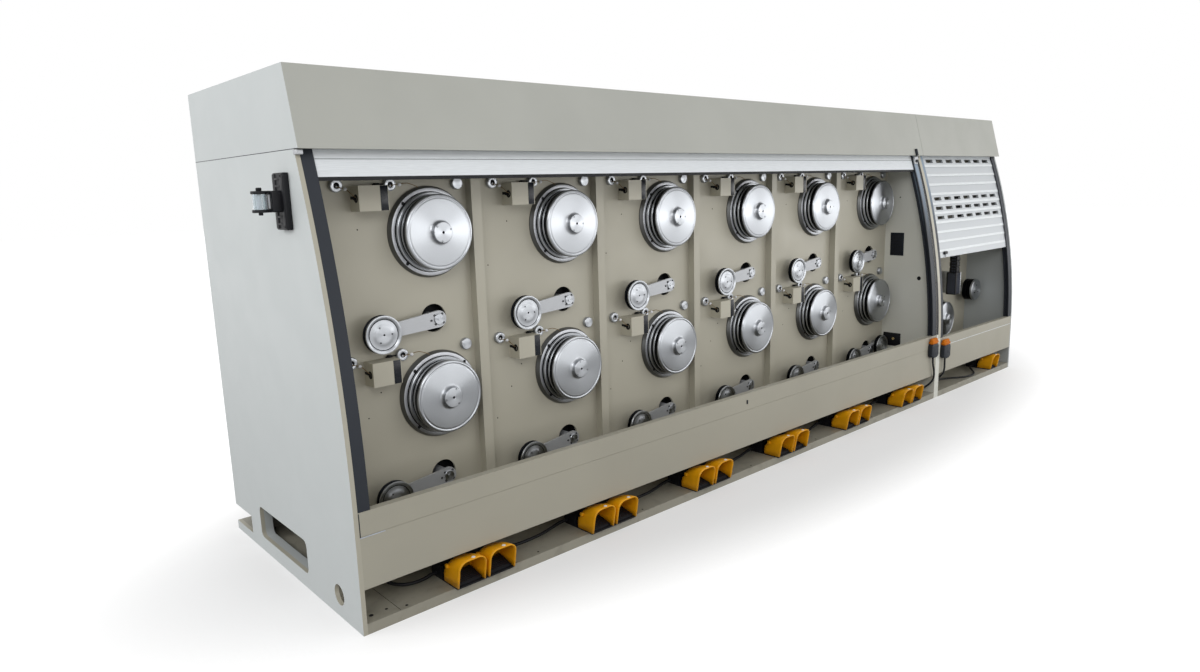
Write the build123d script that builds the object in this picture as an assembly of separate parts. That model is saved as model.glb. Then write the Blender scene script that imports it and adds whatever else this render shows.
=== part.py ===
from build123d import *
import os
from math import asin, atan2, cos, hypot, pi, radians, sin, sqrt, tan

# Wire drawing machine: twelve drawing capstans in two rows, and an outlet unit on the right.
# Drawn in millimetres from the left front corner of the floor: x along the machine to the right,
# y from the front skirt to the rear, z up. The finished pieces are moved so that the origin is
# the centre of the footprint, on the floor.

# Overall size
LENGTH = 6000
DEPTH = 1390
HEIGHT = 2100
HOOD_H = 300
HOOD_BASE = HEIGHT - HOOD_H

# Cabinet
END_PANEL = 18
OUTLET_LENGTH = 1400
PARTITION_X = LENGTH - OUTLET_LENGTH
PARTITION_T = 65
OUTLET_X = PARTITION_X + PARTITION_T
RIGHT_PANEL_X = LENGTH - END_PANEL
HOOD_SEAM_SHIFT = 48
HOOD_SEAM_X = PARTITION_X + HOOD_SEAM_SHIFT
HOOD_SEAM = 3
HOOD_FRONT_LOW = 188
HOOD_FRONT_HIGH = 266
BEND_Z = 400
FRONT_RADIUS = 4450
REAR_PANEL_T = 18
REAR_PANEL_SEAM = 4
OUTLET_REAR_PANELS = 2

# Plinth and toe recesses
PLINTH_H = 43
TOE_DEPTH = 250
TOE_HEIGHT = 181
REAR_TOE_DEPTH = 220
REAR_TOE_HEIGHT = 130
PLINTH_WALL = 6
SHEET = 4
FLOOR_Z = TOE_HEIGHT + SHEET

# Front belts
BELT_LINE = 389
MAIN_BELT_TOP = 485
OUTLET_BELT_TOP = 452
BELT_FLANGE = 34
BELT_GROOVE = 3
BELT_GROOVE_DEPTH = 2

# Openings in the end panels
CUTOUT_Y = (495, 1040)
CUTOUT_Z = (70, 220)
CUTOUT_RADIUS = 28
CUTOUT_FLANGE = 36
CUTOUT_FLANGE_T = 3
ROUND_HOLE_Y = 195
ROUND_HOLE_Z = 95
ROUND_HOLE_R = 43

# Mounting walls and bays: as many bays and rows as the main unit has room for
BAY_PITCH = 745
BAYS = int((PARTITION_X - END_PANEL) // BAY_PITCH)
ROW_PITCH = 723
ROW_NAMES = ("upper", "lower")[: int((HOOD_BASE - FLOOR_Z) // ROW_PITCH)]
WALL_Y = 440
OUTLET_WALL_Y = 400
WALL_T = 12
POST_X = 843
POST_WIDTH = 50
POST_DEPTH = 45

# Capstans
CAPSTAN_X = 642.5
CAPSTAN_BELOW_HOOD = 334.5
LAST_ROW_Z = HOOD_BASE - CAPSTAN_BELOW_HOOD - (len(ROW_NAMES) - 1) * ROW_PITCH
OUTLET_CAPSTAN_SIDE = 755
OUTLET_CAPSTAN_RISE = 16
OUTLET_CAPSTAN_X = OUTLET_X + OUTLET_CAPSTAN_SIDE
OUTLET_CAPSTAN_Z = OUTLET_BELT_TOP + OUTLET_CAPSTAN_RISE
CAPSTAN_DISC_R = 163
OUTLET_DISC_R = 146
HUB_R = 45
HUB_LENGTH = 25
HUB_BORE_R = 7
HUB_BORE_DEPTH = 8
FACE_RING_INSET = 16
FACE_RING_W = 3
FACE_RING_DEPTH = 1.5
RIM_STEP = 9
GROOVE_DEPTH = 12
DISC_T = 27
GROOVE_W = 12
MID_RING_T = 6
RIM_T = 12
EDGE_BREAK = 3
FLANGE_EXTRA = 34.5
FLANGE_T = 25
FLANGE_BREAK = 8
SPIGOT_R = 70
SPIGOT_END = 80
SHAFT_R = 35
SHAFT_PLAY = 0.05
RUNNING_GAP = 6
SEAT_PLAY = 0.3

# Dancers
DANCER_X = 639.6
DANCER_BELOW_CAPSTAN = 379.4
DANCER_REACH = 283.2
DANCER_DROP = 27.3
DANCER_HOLE_R = 62.7
DANCER_CUP_R = 76
DANCER_CUP_DEPTH = 48
DANCER_CUP_BACK = 14
ARM_T = 12
ARM_WALL_GAP = 33
ARM_PIVOT_R = 37
ARM_TIP_R = 28
ARM_BOSS_R = 24
ARM_BOSS_T = 4
PIVOT_R = 22
PULLEY_R = 81.3
PULLEY_RIM_T = 9
PULLEY_GROOVE_R = 68
PULLEY_BODY_T = 32
PULLEY_DISH = 4
PULLEY_LIP = 7
PULLEY_HUB_R = 44
PIN_R = 10

# Rollers
CORNER_ROLLER_SIDE = 130
CORNER_ROLLER_RISE = 15.9
CORNER_ROLLER_X = PARTITION_X - CORNER_ROLLER_SIDE
CORNER_ROLLER_Z = LAST_ROW_Z - DANCER_BELOW_CAPSTAN + CORNER_ROLLER_RISE
CORNER_ROLLER_R = 80
OUTLET_ROLLER_SIDE = 132
OUTLET_ROLLER_X = RIGHT_PANEL_X - OUTLET_ROLLER_SIDE
OUTLET_ROLLER_Z = 675
OUTLET_ROLLER_R = 90
OUTLET_ROLLER_FRONT = 250
OUTLET_ROLLER_T = 85
ROLLER_HOUSING_R = 34

# Die boxes, each beside the capstan it feeds
DIE_BOX_X = (295, 425)
DIE_BOX_DEPTH = 80
DIE_BOX_H = 102
DIE_BOX_ABOVE_CAPSTAN = 101
DIE_WINDOW_X = (388, 422)
DIE_WINDOW_T = 3
KEYHOLE_R = 10
KEYHOLE_Y = 392
KEYHOLE_SLOT = (392, 420)
KEYHOLE_SLOT_H = 12

# Wire guides on the wall
RING_GUIDE_X = (234, 467)
PLAIN_GUIDE_X = 792
GUIDE_ABOVE_CAPSTAN = 205.5
GUIDE_R = 30
GUIDE_T = 20
GUIDE_EYE_R = 13
GUIDE_EYE_DEPTH = 9
EYE_PLATE_Y = (281, 421)
EYE_PLATE_H = 102
EYE_PLATE_DROP = 58
EYE_PLATE_T = 8
EYE_Y = 337
EYE_RISE = 41
EYE_Z = CORNER_ROLLER_Z + EYE_RISE
EYE_R = 7

# Roller shutters and their guides
GUIDE_INSET = 2
GUIDE_DEPTH = 40
MAIN_GUIDE_W = 50
MAIN_RIGHT_GUIDE_W = 60
OUTLET_LEFT_GUIDE_W = 40
OUTLET_RIGHT_GUIDE_W = 56
GUIDE_CHANNEL = 14
SLAT_INSET = 10
SLAT_T = 18
SLAT_STEP = 5
SLAT_JOINT = 0.4
SHUTTER_REACH = 55
SHUTTER_TOP = HOOD_BASE + SHUTTER_REACH
SHUTTER_PLAY = 0.3
MAIN_SHUTTER_DROP = 100
MAIN_SHUTTER_BOTTOM = HOOD_BASE - MAIN_SHUTTER_DROP
MAIN_END_SLAT_H = 64
RUBBER_H = 12
RUBBER_T = 10
OUTLET_SHUTTER_DROP = 754
OUTLET_SHUTTER_BOTTOM = HOOD_BASE - OUTLET_SHUTTER_DROP
BOTTOM_RAIL_H = 41
SLAT_PITCH = 70
SLOTTED_SLATS = (3, 4, 5, 9)
SLOT_PITCH = 165
SLOT_LENGTH = 110
SLOT_H = 17
SLOT_RISE = 43.4
LATCH_SIDE = 135
LATCH_X = OUTLET_X + LATCH_SIDE
LATCH_HANDLE = (34, 12)
LATCH_STEM = (10, 24)
LATCH_REACH = 14

# Foot switches: six twin ones under the main cabinet, and a single one under the outlet unit
FOOT_SWITCH_X = 543
FOOT_SWITCH_PITCH = 732
FOOT_SWITCHES = BAYS
OUTLET_FOOT_SIDE = 307
OUTLET_FOOT_X = RIGHT_PANEL_X - OUTLET_FOOT_SIDE
OUTLET_FOOT_Y = 20
TWIN_PITCH = 151
GUARD_W = 133
GUARD_WALL = 5
GUARD_FRONT_TOP = -48
GUARD_FRONT_FOOT = -26
GUARD_BACK_TOP = 66
GUARD_BACK_FOOT = 93
GUARD_HEADROOM = 13
GUARD_TOP = TOE_HEIGHT - GUARD_HEADROOM
GUARD_BACK_DROP = 26
GUARD_ROUND = 38
FOOT_BASE_T = 6
FOOT_BASE_FRONT = -20
FOOT_BASE_BACK = 182
FOOT_BODY_Y = 100
FOOT_BODY_TOP = 104
PEDAL_W = 112
PEDAL_Y = (-8, 72)
PEDAL_LIP = 10
PEDAL_RISE = 30

# Connectors that hang on the belts at the partition, and their cords
LEFT_CONNECTOR_SIDE = 80
RIGHT_CONNECTOR_SIDE = 53
CONNECTOR_X = (PARTITION_X - LEFT_CONNECTOR_SIDE, OUTLET_X + RIGHT_CONNECTOR_SIDE)
LEFT_CONNECTOR_DROP = 39
RIGHT_CONNECTOR_DROP = 42
CONNECTOR_TOP_Z = (MAIN_BELT_TOP - LEFT_CONNECTOR_DROP, OUTLET_BELT_TOP - RIGHT_CONNECTOR_DROP)
CONNECTOR_W = 118
CONNECTOR_H = 116
CONNECTOR_T = 34
CONNECTOR_NECK = 24
CONNECTOR_BREAK = 16
CONNECTOR_ROUND = 6
CAP_W = 94
CAP_H = 32
CAP_ROUND = 10
CORD_D = 14
CORD_REST_Z = 51

# Air filter on the left end panel
FILTER_PLATE_Y = (295, 395)
FILTER_BELOW_HOOD = 80
FILTER_PLATE_H = 208
FILTER_TOP = HOOD_BASE - FILTER_BELOW_HOOD
FILTER_PLATE_Z = (FILTER_TOP - FILTER_PLATE_H, FILTER_TOP)
FILTER_PLATE_T = 26
FILTER_BODY_Y = (315, 377)
FILTER_BODY_DROP = 64
FILTER_BODY_H = 78
FILTER_BODY_Z = (FILTER_TOP - FILTER_BODY_DROP - FILTER_BODY_H, FILTER_TOP - FILTER_BODY_DROP)
FILTER_BODY_OUT = 60
BOWL_OUT = 94
BOWL_R = 25
BOWL_CAP_R = 29
BOWL_CAP_H = 11

# Cable chain in the outlet unit
CHAIN_SIDE = 767
CHAIN_W = 60
CHAIN_X = (OUTLET_X + CHAIN_SIDE, OUTLET_X + CHAIN_SIDE + CHAIN_W)
CHAIN_Y = (243, 308)
CHAIN_LINK = 46
CHAIN_LINK_STEP = 5
CHAIN_END_LEFT = 12
CHAIN_END_RIGHT = 5
CHAIN_END_X = (CHAIN_X[0] - CHAIN_END_LEFT, CHAIN_X[1] + CHAIN_END_RIGHT)
CHAIN_END_Y = (237, 322)
CHAIN_END_RISE = 224
CHAIN_END_H = 186
CHAIN_END_Z = (OUTLET_BELT_TOP + CHAIN_END_RISE, OUTLET_BELT_TOP + CHAIN_END_RISE + CHAIN_END_H)
CHAIN_PLATE_T = 8
CHAIN_BELOW_HOOD = 64
CHAIN_SHUTTER_GAP = 9
CHAIN_HANGER_H = 40

# Worked out from the sizes above
REAR_PANEL_Y = DEPTH - REAR_PANEL_T
REAR_TOE_Y = DEPTH - REAR_TOE_DEPTH


def slab(x, y, z):
    """A straight-sided block, from the low and high value along each axis."""
    middle = [(low + high) / 2 for low, high in (x, y, z)]
    return Pos(*middle) * Box(x[1] - x[0], y[1] - y[0], z[1] - z[0])


def along_x(face, low, high):
    """A section drawn in y and z, run along the machine."""
    return extrude(Plane.YZ.offset(low) * face, high - low)


def turned(profile, x, z):
    """A closed outline of radius and y, turned about an axis along y."""
    face = make_face(Polyline(*profile, close=True))
    return revolve(Pos(x, 0, z) * face, Axis((x, 0, z), (0, 1, 0)))


def round_bar(x, z, radius, front, back):
    """A round bar along y."""
    return Pos(x, (front + back) / 2, z) * Rot(90, 0, 0) * Cylinder(radius, back - front)


def curve_point(z, inset):
    """A point on the front curve of the cabinet, set back from it by the inset."""
    radius = FRONT_RADIUS - inset
    return (FRONT_RADIUS - sqrt(radius**2 - (z - BEND_Z) ** 2), z)


def curve_arc(low, high, inset):
    """The stretch of the front curve between two heights."""
    return ThreePointArc(*[curve_point(z, inset) for z in (low, (low + high) / 2, high)])


def curve_band(low, high, inset, thickness):
    """The section of a strip that follows the front curve."""
    front = curve_arc(low, high, inset)
    back = curve_arc(low, high, inset + thickness)
    return make_face([front, back, Line(front @ 0, back @ 0), Line(front @ 1, back @ 1)])


def side_face():
    """The outline of an end panel: front curve, upright rear and a toe notch at the rear."""
    curve = curve_arc(BEND_Z, HOOD_BASE, 0)
    notch = [(REAR_TOE_Y, PLINTH_H), (REAR_TOE_Y, REAR_TOE_HEIGHT), (DEPTH, REAR_TOE_HEIGHT)]
    edges = Polyline((0, BEND_Z), (0, 0), (DEPTH, 0), (DEPTH, PLINTH_H), *notch, (DEPTH, HOOD_BASE), curve @ 1)
    return make_face([curve, edges])


def round_hole_face():
    """The round hole through the foot of each side wall."""
    return Pos(ROUND_HOLE_Y, ROUND_HOLE_Z) * Circle(ROUND_HOLE_R)


def cutout_face(grow):
    """The cable cut-out of the left end panel, larger by grow on each side."""
    width = CUTOUT_Y[1] - CUTOUT_Y[0] + 2 * grow
    height = CUTOUT_Z[1] - CUTOUT_Z[0] + 2 * grow
    middle = Pos(sum(CUTOUT_Y) / 2, sum(CUTOUT_Z) / 2)
    return middle * RectangleRounded(width, height, CUTOUT_RADIUS + grow)


def end_panels():
    left = along_x(side_face() - round_hole_face(), 0, END_PANEL)
    left += along_x(cutout_face(CUTOUT_FLANGE_T), END_PANEL, END_PANEL + CUTOUT_FLANGE)
    left -= along_x(cutout_face(0), 0, END_PANEL + CUTOUT_FLANGE)
    right = along_x(side_face() - round_hole_face(), RIGHT_PANEL_X, LENGTH)
    return [left, right]


def unit_partition():
    return [along_x(side_face() - round_hole_face(), PARTITION_X, OUTLET_X)]


def plinth(low, high):
    """A plinth with the rear walls of the front and rear toe recesses."""
    base = slab((low, high), (0, DEPTH), (0, PLINTH_H))
    front_wall = slab((low, high), (TOE_DEPTH, TOE_DEPTH + PLINTH_WALL), (PLINTH_H, TOE_HEIGHT))
    rear_wall = slab((low, high), (REAR_TOE_Y - PLINTH_WALL, REAR_TOE_Y), (PLINTH_H, REAR_TOE_HEIGHT))
    return base + front_wall + rear_wall


def base_frame():
    return [plinth(END_PANEL, PARTITION_X), plinth(OUTLET_X, RIGHT_PANEL_X)]


def hood(low, high, slot_low, slot_high):
    """A hood with a leaning front and a slot that takes the rolled-up shutter."""
    corners = [(HOOD_FRONT_LOW, HOOD_BASE), (HOOD_FRONT_HIGH, HEIGHT), (DEPTH, HEIGHT), (DEPTH, HOOD_BASE)]
    body = along_x(make_face(Polyline(*corners, close=True)), low, high)
    slot = curve_band(HOOD_BASE, SHUTTER_TOP, SLAT_INSET - SLAT_STEP, SLAT_T + 2 * SLAT_STEP)
    return body - along_x(slot, slot_low, slot_high)


def hoods():
    main = hood(0, HOOD_SEAM_X - HOOD_SEAM / 2, *main_shutter_span(0))
    outlet = hood(HOOD_SEAM_X + HOOD_SEAM / 2, LENGTH, *outlet_shutter_span(0))
    return [main, outlet]


def main_shutter_span(play):
    """Where the main shutter's slats start and end in their guides."""
    low = END_PANEL + MAIN_GUIDE_W - GUIDE_CHANNEL
    high = PARTITION_X - MAIN_RIGHT_GUIDE_W + GUIDE_CHANNEL
    return low + play, high - play


def outlet_shutter_span(play):
    """Where the outlet shutter's slats start and end in their guides."""
    low = OUTLET_X + OUTLET_LEFT_GUIDE_W - GUIDE_CHANNEL
    high = RIGHT_PANEL_X - OUTLET_RIGHT_GUIDE_W + GUIDE_CHANNEL
    return low + play, high - play


def main_slats():
    """The last slats of the main shutter, rolled up under the hood, with a rubber foot."""
    span = main_shutter_span(SHUTTER_PLAY)
    seam = MAIN_SHUTTER_BOTTOM + MAIN_END_SLAT_H
    end_slat = along_x(curve_band(MAIN_SHUTTER_BOTTOM, seam, SLAT_INSET, SLAT_T), *span)
    upper_slat = along_x(curve_band(seam + SLAT_JOINT, SHUTTER_TOP, SLAT_INSET, SLAT_T), *span)
    rubber_inset = SLAT_INSET + (SLAT_T - RUBBER_T) / 2
    rubber_band = curve_band(MAIN_SHUTTER_BOTTOM - RUBBER_H, MAIN_SHUTTER_BOTTOM, rubber_inset, RUBBER_T)
    return [end_slat, upper_slat, along_x(rubber_band, *span)]


def slat_section(low, high):
    """A slat whose lower edge stands forward of the slat below it."""
    front = [curve_point(low, SLAT_INSET), curve_point(high, SLAT_INSET + SLAT_STEP)]
    back = [curve_point(high, SLAT_INSET + SLAT_T), curve_point(low, SLAT_INSET + SLAT_T)]
    return make_face(Polyline(*front, *back, close=True))


def slat_slots(z, span):
    """The row of slots through one slat."""
    middle = (span[0] + span[1]) / 2
    depth = curve_point(z, SLAT_INSET + SLAT_T / 2)[0]
    count = int((span[1] - span[0]) // SLOT_PITCH)
    slots = []
    for number in range(count):
        x = middle + (number - (count - 1) / 2) * SLOT_PITCH
        slots.append(Pos(x, depth, z) * Box(SLOT_LENGTH, 4 * SLAT_T, SLOT_H))
    return slots


def shutter_latch(rail_top):
    """The small handle of the outlet shutter's lock: a bar on a stem, on the bottom rail."""
    bar_width, bar_height = LATCH_HANDLE
    stem_width, stem_height = LATCH_STEM
    y = curve_point(rail_top, SLAT_INSET)[0]
    depth = (y - LATCH_REACH, y + SLAT_T / 2)
    bar = slab((LATCH_X - bar_width / 2, LATCH_X + bar_width / 2), depth, (rail_top - bar_height, rail_top))
    stem_z = (rail_top - bar_height - stem_height, rail_top - bar_height)
    return bar + slab((LATCH_X - stem_width / 2, LATCH_X + stem_width / 2), depth, stem_z)


def outlet_slats():
    """The outlet shutter, half down: a bottom rail and slats, some of them slotted."""
    span = outlet_shutter_span(SHUTTER_PLAY)
    rail_top = OUTLET_SHUTTER_BOTTOM + BOTTOM_RAIL_H
    rail = along_x(curve_band(OUTLET_SHUTTER_BOTTOM, rail_top, SLAT_INSET, SLAT_T), *span)
    slats = [rail + shutter_latch(rail_top)]
    low = rail_top
    number = 0
    while low < SHUTTER_TOP - SLAT_PITCH / 2:
        high = min(low + SLAT_PITCH, SHUTTER_TOP)
        slat = along_x(slat_section(low + SLAT_JOINT, high), *span)
        if number in SLOTTED_SLATS:
            slat -= slat_slots(low + SLOT_RISE, span)
        slats.append(slat)
        low = high
        number += 1
    return slats


def roller_shutters():
    return main_slats() + outlet_slats()


def guide(low, high, channel_low, channel_high, foot):
    """A curved guide rail, with a channel for the ends of the slats."""
    rail = along_x(curve_band(foot, HOOD_BASE, GUIDE_INSET, GUIDE_DEPTH), low, high)
    inset = SLAT_INSET - SHUTTER_PLAY
    channel = curve_band(foot, HOOD_BASE, inset, SLAT_T + 2 * SHUTTER_PLAY)
    return rail - along_x(channel, channel_low, channel_high)


def shutter_guides():
    main_low, main_high = main_shutter_span(0)
    outlet_low, outlet_high = outlet_shutter_span(0)
    main_left = (END_PANEL, END_PANEL + MAIN_GUIDE_W)
    main_right = (PARTITION_X - MAIN_RIGHT_GUIDE_W, PARTITION_X)
    outlet_left = (OUTLET_X, OUTLET_X + OUTLET_LEFT_GUIDE_W)
    outlet_right = (RIGHT_PANEL_X - OUTLET_RIGHT_GUIDE_W, RIGHT_PANEL_X)
    return [
        guide(*main_left, main_low, main_left[1], MAIN_BELT_TOP),
        guide(*main_right, main_right[0], main_high, MAIN_BELT_TOP),
        guide(*outlet_left, outlet_low, outlet_left[1], OUTLET_BELT_TOP),
        guide(*outlet_right, outlet_right[0], outlet_high, OUTLET_BELT_TOP),
    ]


def belt(low, high, top, wall_y):
    """A skirt and belt in one folded sheet, with the trough floor back to the wall."""
    skirt = slab((low, high), (0, SHEET), (TOE_HEIGHT, top))
    flange = slab((low, high), (0, BELT_FLANGE), (top - SHEET, top))
    floor = slab((low, high), (0, wall_y), (TOE_HEIGHT, FLOOR_Z))
    groove = slab((low, high), (0, BELT_GROOVE_DEPTH), (BELT_LINE, BELT_LINE + BELT_GROOVE))
    return skirt + flange + floor - groove


def front_belts():
    main = belt(END_PANEL, PARTITION_X, MAIN_BELT_TOP, WALL_Y + WALL_T)
    outlet = belt(OUTLET_X, RIGHT_PANEL_X, OUTLET_BELT_TOP, OUTLET_WALL_Y + WALL_T)
    return [main, outlet]


def row_heights():
    """The height of the capstans in each row, from the top row down."""
    return [HOOD_BASE - CAPSTAN_BELOW_HOOD - row * ROW_PITCH for row in range(len(ROW_NAMES))]


def bay_rows():
    """Each bay's shift along the machine with its row: name, number, capstan and dancer height."""
    rows = []
    for row, capstan_z in zip(ROW_NAMES, row_heights()):
        for bay in range(BAYS):
            rows.append((row, bay + 1, bay * BAY_PITCH, capstan_z, capstan_z - DANCER_BELOW_CAPSTAN))
    return rows


def mounting_walls():
    """The main wall with its holes for capstans and dancers, and the outlet unit's wall."""
    main = slab((END_PANEL, PARTITION_X), (WALL_Y, WALL_Y + WALL_T), (FLOOR_Z, HOOD_BASE))
    holes = []
    for _, _, shift, capstan_z, dancer_z in bay_rows():
        back = WALL_Y + WALL_T
        holes.append(round_bar(CAPSTAN_X + shift, capstan_z, SPIGOT_R + SEAT_PLAY, WALL_Y, back))
        holes.append(round_bar(DANCER_X + shift, dancer_z, DANCER_HOLE_R, WALL_Y, back))
    main -= holes
    outlet = slab((OUTLET_X, RIGHT_PANEL_X), (OUTLET_WALL_Y, OUTLET_WALL_Y + WALL_T), (FLOOR_Z, HOOD_BASE))
    spigot = SPIGOT_R + SEAT_PLAY
    outlet -= round_bar(OUTLET_CAPSTAN_X, OUTLET_CAPSTAN_Z, spigot, OUTLET_WALL_Y, OUTLET_WALL_Y + WALL_T)
    return [main, outlet]


def bay_posts():
    """A post on the wall at each seam between two bays."""
    posts = []
    for seam in range(BAYS - 1):
        low = POST_X + seam * BAY_PITCH
        posts.append(slab((low, low + POST_WIDTH), (WALL_Y - POST_DEPTH, WALL_Y), (FLOOR_Z, HOOD_BASE)))
    return posts


def rear_panels():
    """Plain cover panels, one behind each bay and two behind the outlet unit."""
    stretches = [(END_PANEL, PARTITION_X, BAYS), (OUTLET_X, RIGHT_PANEL_X, OUTLET_REAR_PANELS)]
    panels = []
    for low, high, count in stretches:
        width = (high - low) / count
        for number in range(count):
            x = (low + number * width + REAR_PANEL_SEAM / 2, low + (number + 1) * width - REAR_PANEL_SEAM / 2)
            panels.append(slab(x, (REAR_PANEL_Y, DEPTH), (REAR_TOE_HEIGHT, HOOD_BASE)))
    return panels


def flange_housing(x, z, wall_y, disc_r):
    """The fixed flange and bearing spigot behind a capstan."""
    radius = disc_r + FLANGE_EXTRA
    front = wall_y - FLANGE_T
    bore = SHAFT_R + SHAFT_PLAY
    end = wall_y + SPIGOT_END
    profile = [(bore, front), (radius - FLANGE_BREAK, front), (radius, front + FLANGE_BREAK), (radius, wall_y)]
    profile += [(SPIGOT_R, wall_y), (SPIGOT_R, end), (bore, end)]
    return turned(profile, x, z)


def dancer_cup(x, z):
    """The cup behind a dancer's hole in the wall, with the bearing of its pivot."""
    front = WALL_Y + WALL_T
    inner = front + DANCER_CUP_DEPTH
    end = inner + DANCER_CUP_BACK
    bore = PIVOT_R + SHAFT_PLAY
    profile = [(DANCER_HOLE_R, front), (DANCER_CUP_R, front), (DANCER_CUP_R, end)]
    profile += [(bore, end), (bore, inner), (DANCER_HOLE_R, inner)]
    return turned(profile, x, z)


def roller_stub(x, z, wall_y, front, pin_front):
    """A fixed stub on the wall with the pin that a roller runs on."""
    profile = [(0, pin_front), (PIN_R, pin_front), (PIN_R, front), (ROLLER_HOUSING_R, front)]
    profile += [(ROLLER_HOUSING_R, wall_y), (0, wall_y)]
    return turned(profile, x, z)


def bearing_housings():
    solids = []
    for _, _, shift, capstan_z, dancer_z in bay_rows():
        solids.append(flange_housing(CAPSTAN_X + shift, capstan_z, WALL_Y, CAPSTAN_DISC_R))
        solids.append(dancer_cup(DANCER_X + shift, dancer_z))
    solids.append(flange_housing(OUTLET_CAPSTAN_X, OUTLET_CAPSTAN_Z, OUTLET_WALL_Y, OUTLET_DISC_R))
    corner_back = pulley_front() + PULLEY_BODY_T + RUNNING_GAP
    pin_front = pulley_front() + PULLEY_DISH + PULLEY_LIP
    solids.append(roller_stub(CORNER_ROLLER_X, CORNER_ROLLER_Z, WALL_Y, corner_back, pin_front))
    outlet_back = OUTLET_ROLLER_FRONT + OUTLET_ROLLER_T + RUNNING_GAP
    outlet_pin = OUTLET_ROLLER_FRONT + 2 * PULLEY_RIM_T
    solids.append(roller_stub(OUTLET_ROLLER_X, OUTLET_ROLLER_Z, OUTLET_WALL_Y, outlet_back, outlet_pin))
    return solids


def capstan(x, z, wall_y, disc_r):
    """A drawing capstan on its shaft: front disc and hub, two grooves, a middle ring and a rear rim."""
    groove_r = disc_r - GROOVE_DEPTH
    rim_r = disc_r + RIM_STEP
    rim_back = wall_y - FLANGE_T - RUNNING_GAP
    rim_front = rim_back - RIM_T
    ring_back = rim_front - GROOVE_W
    ring_front = ring_back - MID_RING_T
    disc_back = ring_front - GROOVE_W
    face = disc_back - DISC_T
    nose = face - HUB_LENGTH
    end = wall_y + SPIGOT_END
    bore_end = nose + HUB_BORE_DEPTH
    ring_r = disc_r - FACE_RING_INSET
    ring_depth = face + FACE_RING_DEPTH
    profile = [(0, bore_end), (HUB_BORE_R, bore_end), (HUB_BORE_R, nose), (HUB_R - EDGE_BREAK, nose)]
    profile += [(HUB_R, nose + EDGE_BREAK), (HUB_R, face), (ring_r, face), (ring_r, ring_depth)]
    profile += [(ring_r + FACE_RING_W, ring_depth), (ring_r + FACE_RING_W, face)]
    profile += [(disc_r - EDGE_BREAK, face), (disc_r, face + EDGE_BREAK), (disc_r, disc_back)]
    profile += [(groove_r, disc_back), (groove_r, ring_front), (disc_r, ring_front), (disc_r, ring_back)]
    profile += [(groove_r, ring_back), (groove_r, rim_front), (rim_r, rim_front), (rim_r, rim_back)]
    profile += [(SHAFT_R, rim_back), (SHAFT_R, end), (0, end)]
    return turned(profile, x, z)


def arm_back():
    """The rear face of the dancer arms."""
    return WALL_Y - ARM_WALL_GAP


def pulley_front():
    """The front rim of the dancer pulleys."""
    return arm_back() - ARM_T - RUNNING_GAP - PULLEY_BODY_T


def dancer_arm(x, z):
    """A tapered arm with its pivot shaft at one end and the pulley's pin at the other."""
    tip = (-DANCER_REACH, -DANCER_DROP)
    length = hypot(*tip)
    spread = asin((ARM_PIVOT_R - ARM_TIP_R) / length)
    heading = atan2(tip[1], tip[0])
    corners = []
    for side in (1, -1):
        angle = heading + side * (pi / 2 - spread)
        pivot_side = (ARM_PIVOT_R * cos(angle), ARM_PIVOT_R * sin(angle))
        tip_side = (tip[0] + ARM_TIP_R * cos(angle), tip[1] + ARM_TIP_R * sin(angle))
        corners += [pivot_side, tip_side] if side == 1 else [tip_side, pivot_side]
    outline = make_face(Polyline(*corners, close=True))
    outline += [Circle(ARM_PIVOT_R), Pos(*tip) * Circle(ARM_TIP_R)]
    # The arm's outline is drawn in x and z, on a plane that faces the front
    front_plane = Plane(origin=(x, arm_back(), z), x_dir=(1, 0, 0), z_dir=(0, -1, 0))
    plate = extrude(front_plane * outline, ARM_T)
    plate_front = arm_back() - ARM_T
    boss = round_bar(x, z, ARM_BOSS_R, plate_front - ARM_BOSS_T, plate_front)
    pivot_end = WALL_Y + WALL_T + DANCER_CUP_DEPTH + DANCER_CUP_BACK
    pivot = round_bar(x, z, PIVOT_R, arm_back(), pivot_end)
    pin_front = pulley_front() + PULLEY_DISH + PULLEY_LIP
    pin = round_bar(x + tip[0], z + tip[1], PIN_R, pin_front, plate_front)
    return plate + boss + pivot + pin


def grooved_pulley(x, z, radius):
    """A pulley with a black rear rim, a groove, and a dished front face with a hub."""
    front = pulley_front()
    back = front + PULLEY_BODY_T
    dish = front + PULLEY_DISH
    bore = PIN_R + SHAFT_PLAY
    bore_end = dish + PULLEY_LIP
    groove_r = radius * PULLEY_GROOVE_R / PULLEY_R
    profile = [(0, front), (PULLEY_HUB_R, front), (PULLEY_HUB_R, dish), (radius - PULLEY_LIP, dish)]
    profile += [(radius - PULLEY_LIP / 2, front), (radius, front), (radius, front + PULLEY_RIM_T)]
    profile += [(groove_r, front + PULLEY_RIM_T + EDGE_BREAK), (groove_r, back - PULLEY_RIM_T - EDGE_BREAK)]
    profile += [(radius, back - PULLEY_RIM_T), (radius, back), (bore, back), (bore, bore_end), (0, bore_end)]
    return turned(profile, x, z)


def outlet_roller():
    """The outlet roller: a silver face on a body with three round grooves."""
    x, z, radius = OUTLET_ROLLER_X, OUTLET_ROLLER_Z, OUTLET_ROLLER_R
    front = OUTLET_ROLLER_FRONT
    back = front + OUTLET_ROLLER_T
    bore = PIN_R + SHAFT_PLAY
    bore_end = front + 2 * PULLEY_RIM_T
    groove_r = radius - GROOVE_DEPTH
    profile = [(0, front), (radius - EDGE_BREAK, front), (radius, front + EDGE_BREAK)]
    step = (back - bore_end) / 6
    y = bore_end
    for _ in range(3):
        profile += [(radius, y), (groove_r, y), (groove_r, y + step), (radius, y + step)]
        y += 2 * step
    profile += [(radius, back), (bore, back), (bore, bore_end), (0, bore_end)]
    return turned(profile, x, z)


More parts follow.
